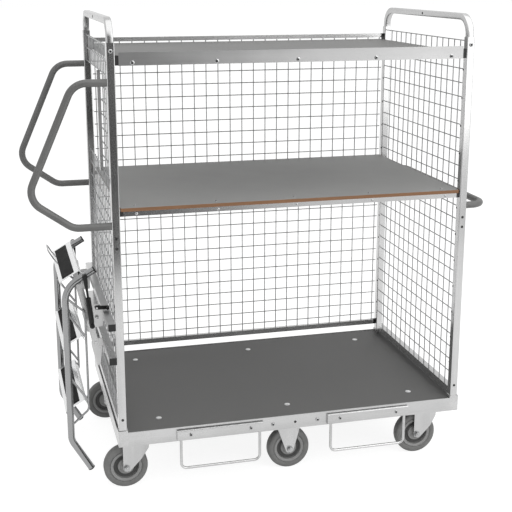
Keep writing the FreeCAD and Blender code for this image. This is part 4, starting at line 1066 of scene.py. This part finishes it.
# Gas struts: a black painted cylinder on the bracket's pin, and a thin rod with a moulded end that
# reaches up to the ladder's arm. Each end has an eye on its pin and a cap over it.
black_paint = Finish("black_paint", "black_metal")
orange_peel = black_paint.noise(600, 2, 0.5)
rubbed = black_paint.noise(18, 4, 0.65)
black_paint.set(
    Base_Color=black_paint.blend(rubbed.above(0.6, 0.15), (0.006, 0.006, 0.006), (0.018, 0.018, 0.018)),
    Roughness=orange_peel * 0.2 + rubbed * 0.1 + 0.2, Specular_IOR_Level=0.3)
black_paint.bump(orange_peel, 0.0001, 0.3)
STRUT_Y = 0.25
STRUT_FOOT = (middle_x - 0.709, 0.601)
slope = Vector((STRUT_TOP[0] - STRUT_FOOT[0], 0, STRUT_TOP[1] - STRUT_FOOT[1]))
strut_turn = slope.to_track_quat("Y", "Z").to_matrix().to_4x4()
span = slope.length
case_outline = [(0.0054, 0.010), (0.0065, 0.008), (0.0080, 0.012), (0.0095, 0.016), (0.0095, 0.1035),
                (0.0086, 0.1052), (0.0070, 0.1060), (0.0054, 0.1060)]
rod_outline = [(CORE, 0.060), (0.0042, 0.060), (0.0042, span - 0.052), (0.0048, span - 0.050),
               (0.0074, span - 0.024), (0.0080, span - 0.008), (CORE, span - 0.006)]
eye_outline = [(0.0042, -0.0072), (0.0084, -0.0080), (0.0090, -0.0072), (0.0090, 0.0072),
               (0.0084, 0.0080), (0.0042, 0.0072)]
pin_cap_outline = [(CORE, 0.0070), (0.0066, 0.0070), (0.0066, 0.0086), (0.0050, 0.0098), (CORE, 0.0102)]
case = turned("case", case_outline, 28)
rod = turned("rod", rod_outline, 24)
eye = turned("eye", eye_outline, 28)
pin_cap = turned("pin_cap", pin_cap_outline, 24)
cases = []
plungers = []
for _, across in SIDES:
    foot = (STRUT_FOOT[0], STRUT_Y * across, STRUT_FOOT[1])
    head = (STRUT_TOP[0], STRUT_Y * across, STRUT_TOP[1])
    outward = facing_side(across)
    cases += [copied(case, foot, strut_turn), copied(eye, foot), copied(pin_cap, foot, outward)]
    plungers += [copied(rod, foot, strut_turn), copied(eye, head), copied(pin_cap, head, outward)]
discard(case, rod, eye, pin_cap)
fit(joined("gas_strut_cases", cases), black_paint, "strut_cases", "strut_cylinders")
fit(joined("gas_strut_rods", plungers), black_paint, "strut_plungers", "strut_rods")


# Latch lever: a flat metal arm with rounded ends on a peg of the front bracket, with a turned knob
# at its tip. Both are painted black.
LEVER_X = middle_x - 0.690
LEVER_HEIGHT = 0.663
LEVER_REACH = 0.038
LEVER_HALF = 0.0065
LEVER_ROUNDING = 0.0062
LEVER_FRONT = -0.243
LEVER_REAR = -0.237
left = LEVER_X - LEVER_HALF
right = LEVER_X + LEVER_REACH + LEVER_HALF
low = LEVER_HEIGHT - LEVER_HALF
high = LEVER_HEIGHT + LEVER_HALF
arm_outline = [(left, low, LEVER_ROUNDING), (right, low, LEVER_ROUNDING), (right, high, LEVER_ROUNDING),
               (left, high, LEVER_ROUNDING)]
arm = ease_rims(pressed("arm", arm_outline, "y", LEVER_FRONT, LEVER_REAR), "y", edge=0.0008)
knob_outline = [(CORE, -0.2425), (0.0040, -0.2425), (0.0038, -0.2445), (0.0052, -0.2475),
                (0.0060, -0.2520), (0.0056, -0.2565), (0.0042, -0.2588), (CORE, -0.2590)]
knob = turned("knob", knob_outline, 24)
knob.data.transform(Matrix.Translation((LEVER_X + LEVER_REACH, 0, LEVER_HEIGHT)))
fit(joined("latch_arm", [arm, knob]), black_paint, "lever", "latch_lever")


# Bracket bolts: zinc plated bolts through the plates of the two ladder brackets. The nut on the
# outside of each is all that shows.
BRACKET_FACE = 0.236
BRACKET_BOLT_HEIGHT = 0.628
nuts = []
for _, across in SIDES:
    place = (LEVER_X, BRACKET_FACE * across, BRACKET_BOLT_HEIGHT)
    nuts.append(copied(small_nut, place, facing_side(across)))
discard(small_nut)
fit(joined("bracket_bolts", nuts), bolt_steel, "frame")


# Studio: a pale paper floor that keeps the shadow and ends in front of the trolley, a white
# surround, and soft lamps. The room behind the camera is dim, and the bright metal shows it.
bpy.ops.mesh.primitive_plane_add(size=60, location=(0, 26.8, 0))
floor = bpy.context.active_object
floor.name = "floor"
pale_floor = bpy.data.materials.new("pale_floor")
ground = Maker(pale_floor)
ground.tree.nodes.remove(ground.tree.nodes["Principled BSDF"])
camera_ray = ground.node("ShaderNodeLightPath", {}, {}, "Is Camera Ray")
mirrored = ground.node("ShaderNodeLightPath", {}, {}, "Is Glossy Ray")
paper = ground.node("ShaderNodeBsdfDiffuse", {}, {"Color": (0.32, 0.32, 0.32, 1)})
glow = ground.node("ShaderNodeEmission", {}, {"Strength": 0.87})
bright_paper = ground.node("ShaderNodeAddShader", {}, {0: paper, 1: glow})
plain_paper = ground.node("ShaderNodeBsdfDiffuse", {}, {"Color": (0.8, 0.8, 0.8, 1)})
shown = ground.node("ShaderNodeMixShader", {}, {0: camera_ray + mirrored, 1: plain_paper, 2: bright_paper})
ground.put(ground.tree.nodes["Material Output"].inputs["Surface"], shown)
floor.data.materials.append(pale_floor)

AMBIENT = 0.6
white_studio = bpy.data.worlds.new("white_studio")
bpy.context.scene.world = white_studio
room = Maker(white_studio)
camera_ray = room.node("ShaderNodeLightPath", {}, {}, "Is Camera Ray")
mirrored = room.node("ShaderNodeLightPath", {}, {}, "Is Glossy Ray")
through = room.node("ShaderNodeLightPath", {}, {}, "Is Transmission Ray")
heading = room.node("ShaderNodeTexCoord", {}, {}, "Generated")
across = room.node("ShaderNodeSeparateXYZ", {}, {"Vector": heading}, "X")
onward = room.node("ShaderNodeSeparateXYZ", {}, {"Vector": heading}, "Y")
behind_camera = (0 - onward).above(0.75, 0.2)
to_the_sides = (across * across).above(0.055, 0.045)
dim = behind_camera * (1 - to_the_sides)
strength = AMBIENT + (camera_ray + through) * (1 - AMBIENT) + mirrored * (1 - AMBIENT - dim)
backdrop = room.tree.nodes["Background"]
backdrop.inputs["Color"].default_value = (1, 1, 1, 1)
room.put(backdrop.inputs["Strength"], strength)


def soft_lamp(name, place, size, watts):
    """A round area lamp aimed at the middle of the trolley."""
    target = Vector((0, 0, 0.8))
    lamp = bpy.data.lights.new(name, "AREA")
    lamp.shape = "DISK"
    lamp.size = size
    lamp.energy = watts
    holder = bpy.data.objects.new(name, lamp)
    bpy.context.scene.collection.objects.link(holder)
    holder.location = place
    holder.rotation_mode = "QUATERNION"
    holder.rotation_quaternion = (target - Vector(place)).to_track_quat("-Z", "Y")


soft_lamp("top_lamp", (0.6, -1.2, 4.2), size=6.0, watts=96)
soft_lamp("front_lamp", (2.6, -4.2, 2.4), size=4.0, watts=58)


# Camera: it stands where the camera fitted to the photograph stands, left of the trolley's middle
# and above its top, and looks down to the right.
EYE = (middle_x - 1.016, -3.741, 1.810)
TO_THE_RIGHT = math.radians(14.58)
DOWNWARD = math.radians(13.97)
bpy.context.scene.view_settings.view_transform = "Standard"
camera = bpy.data.cameras.new("photo_camera")
camera.sensor_width = 36
camera.lens = 72.16
camera.shift_y = -0.05
view = bpy.data.objects.new("photo_camera", camera)
bpy.context.scene.collection.objects.link(view)
turn = Matrix.Rotation(-TO_THE_RIGHT, 4, "Z") @ Matrix.Rotation(math.pi / 2 - DOWNWARD, 4, "X")
view.matrix_world = Matrix.Translation(EYE) @ turn
bpy.context.scene.camera = view
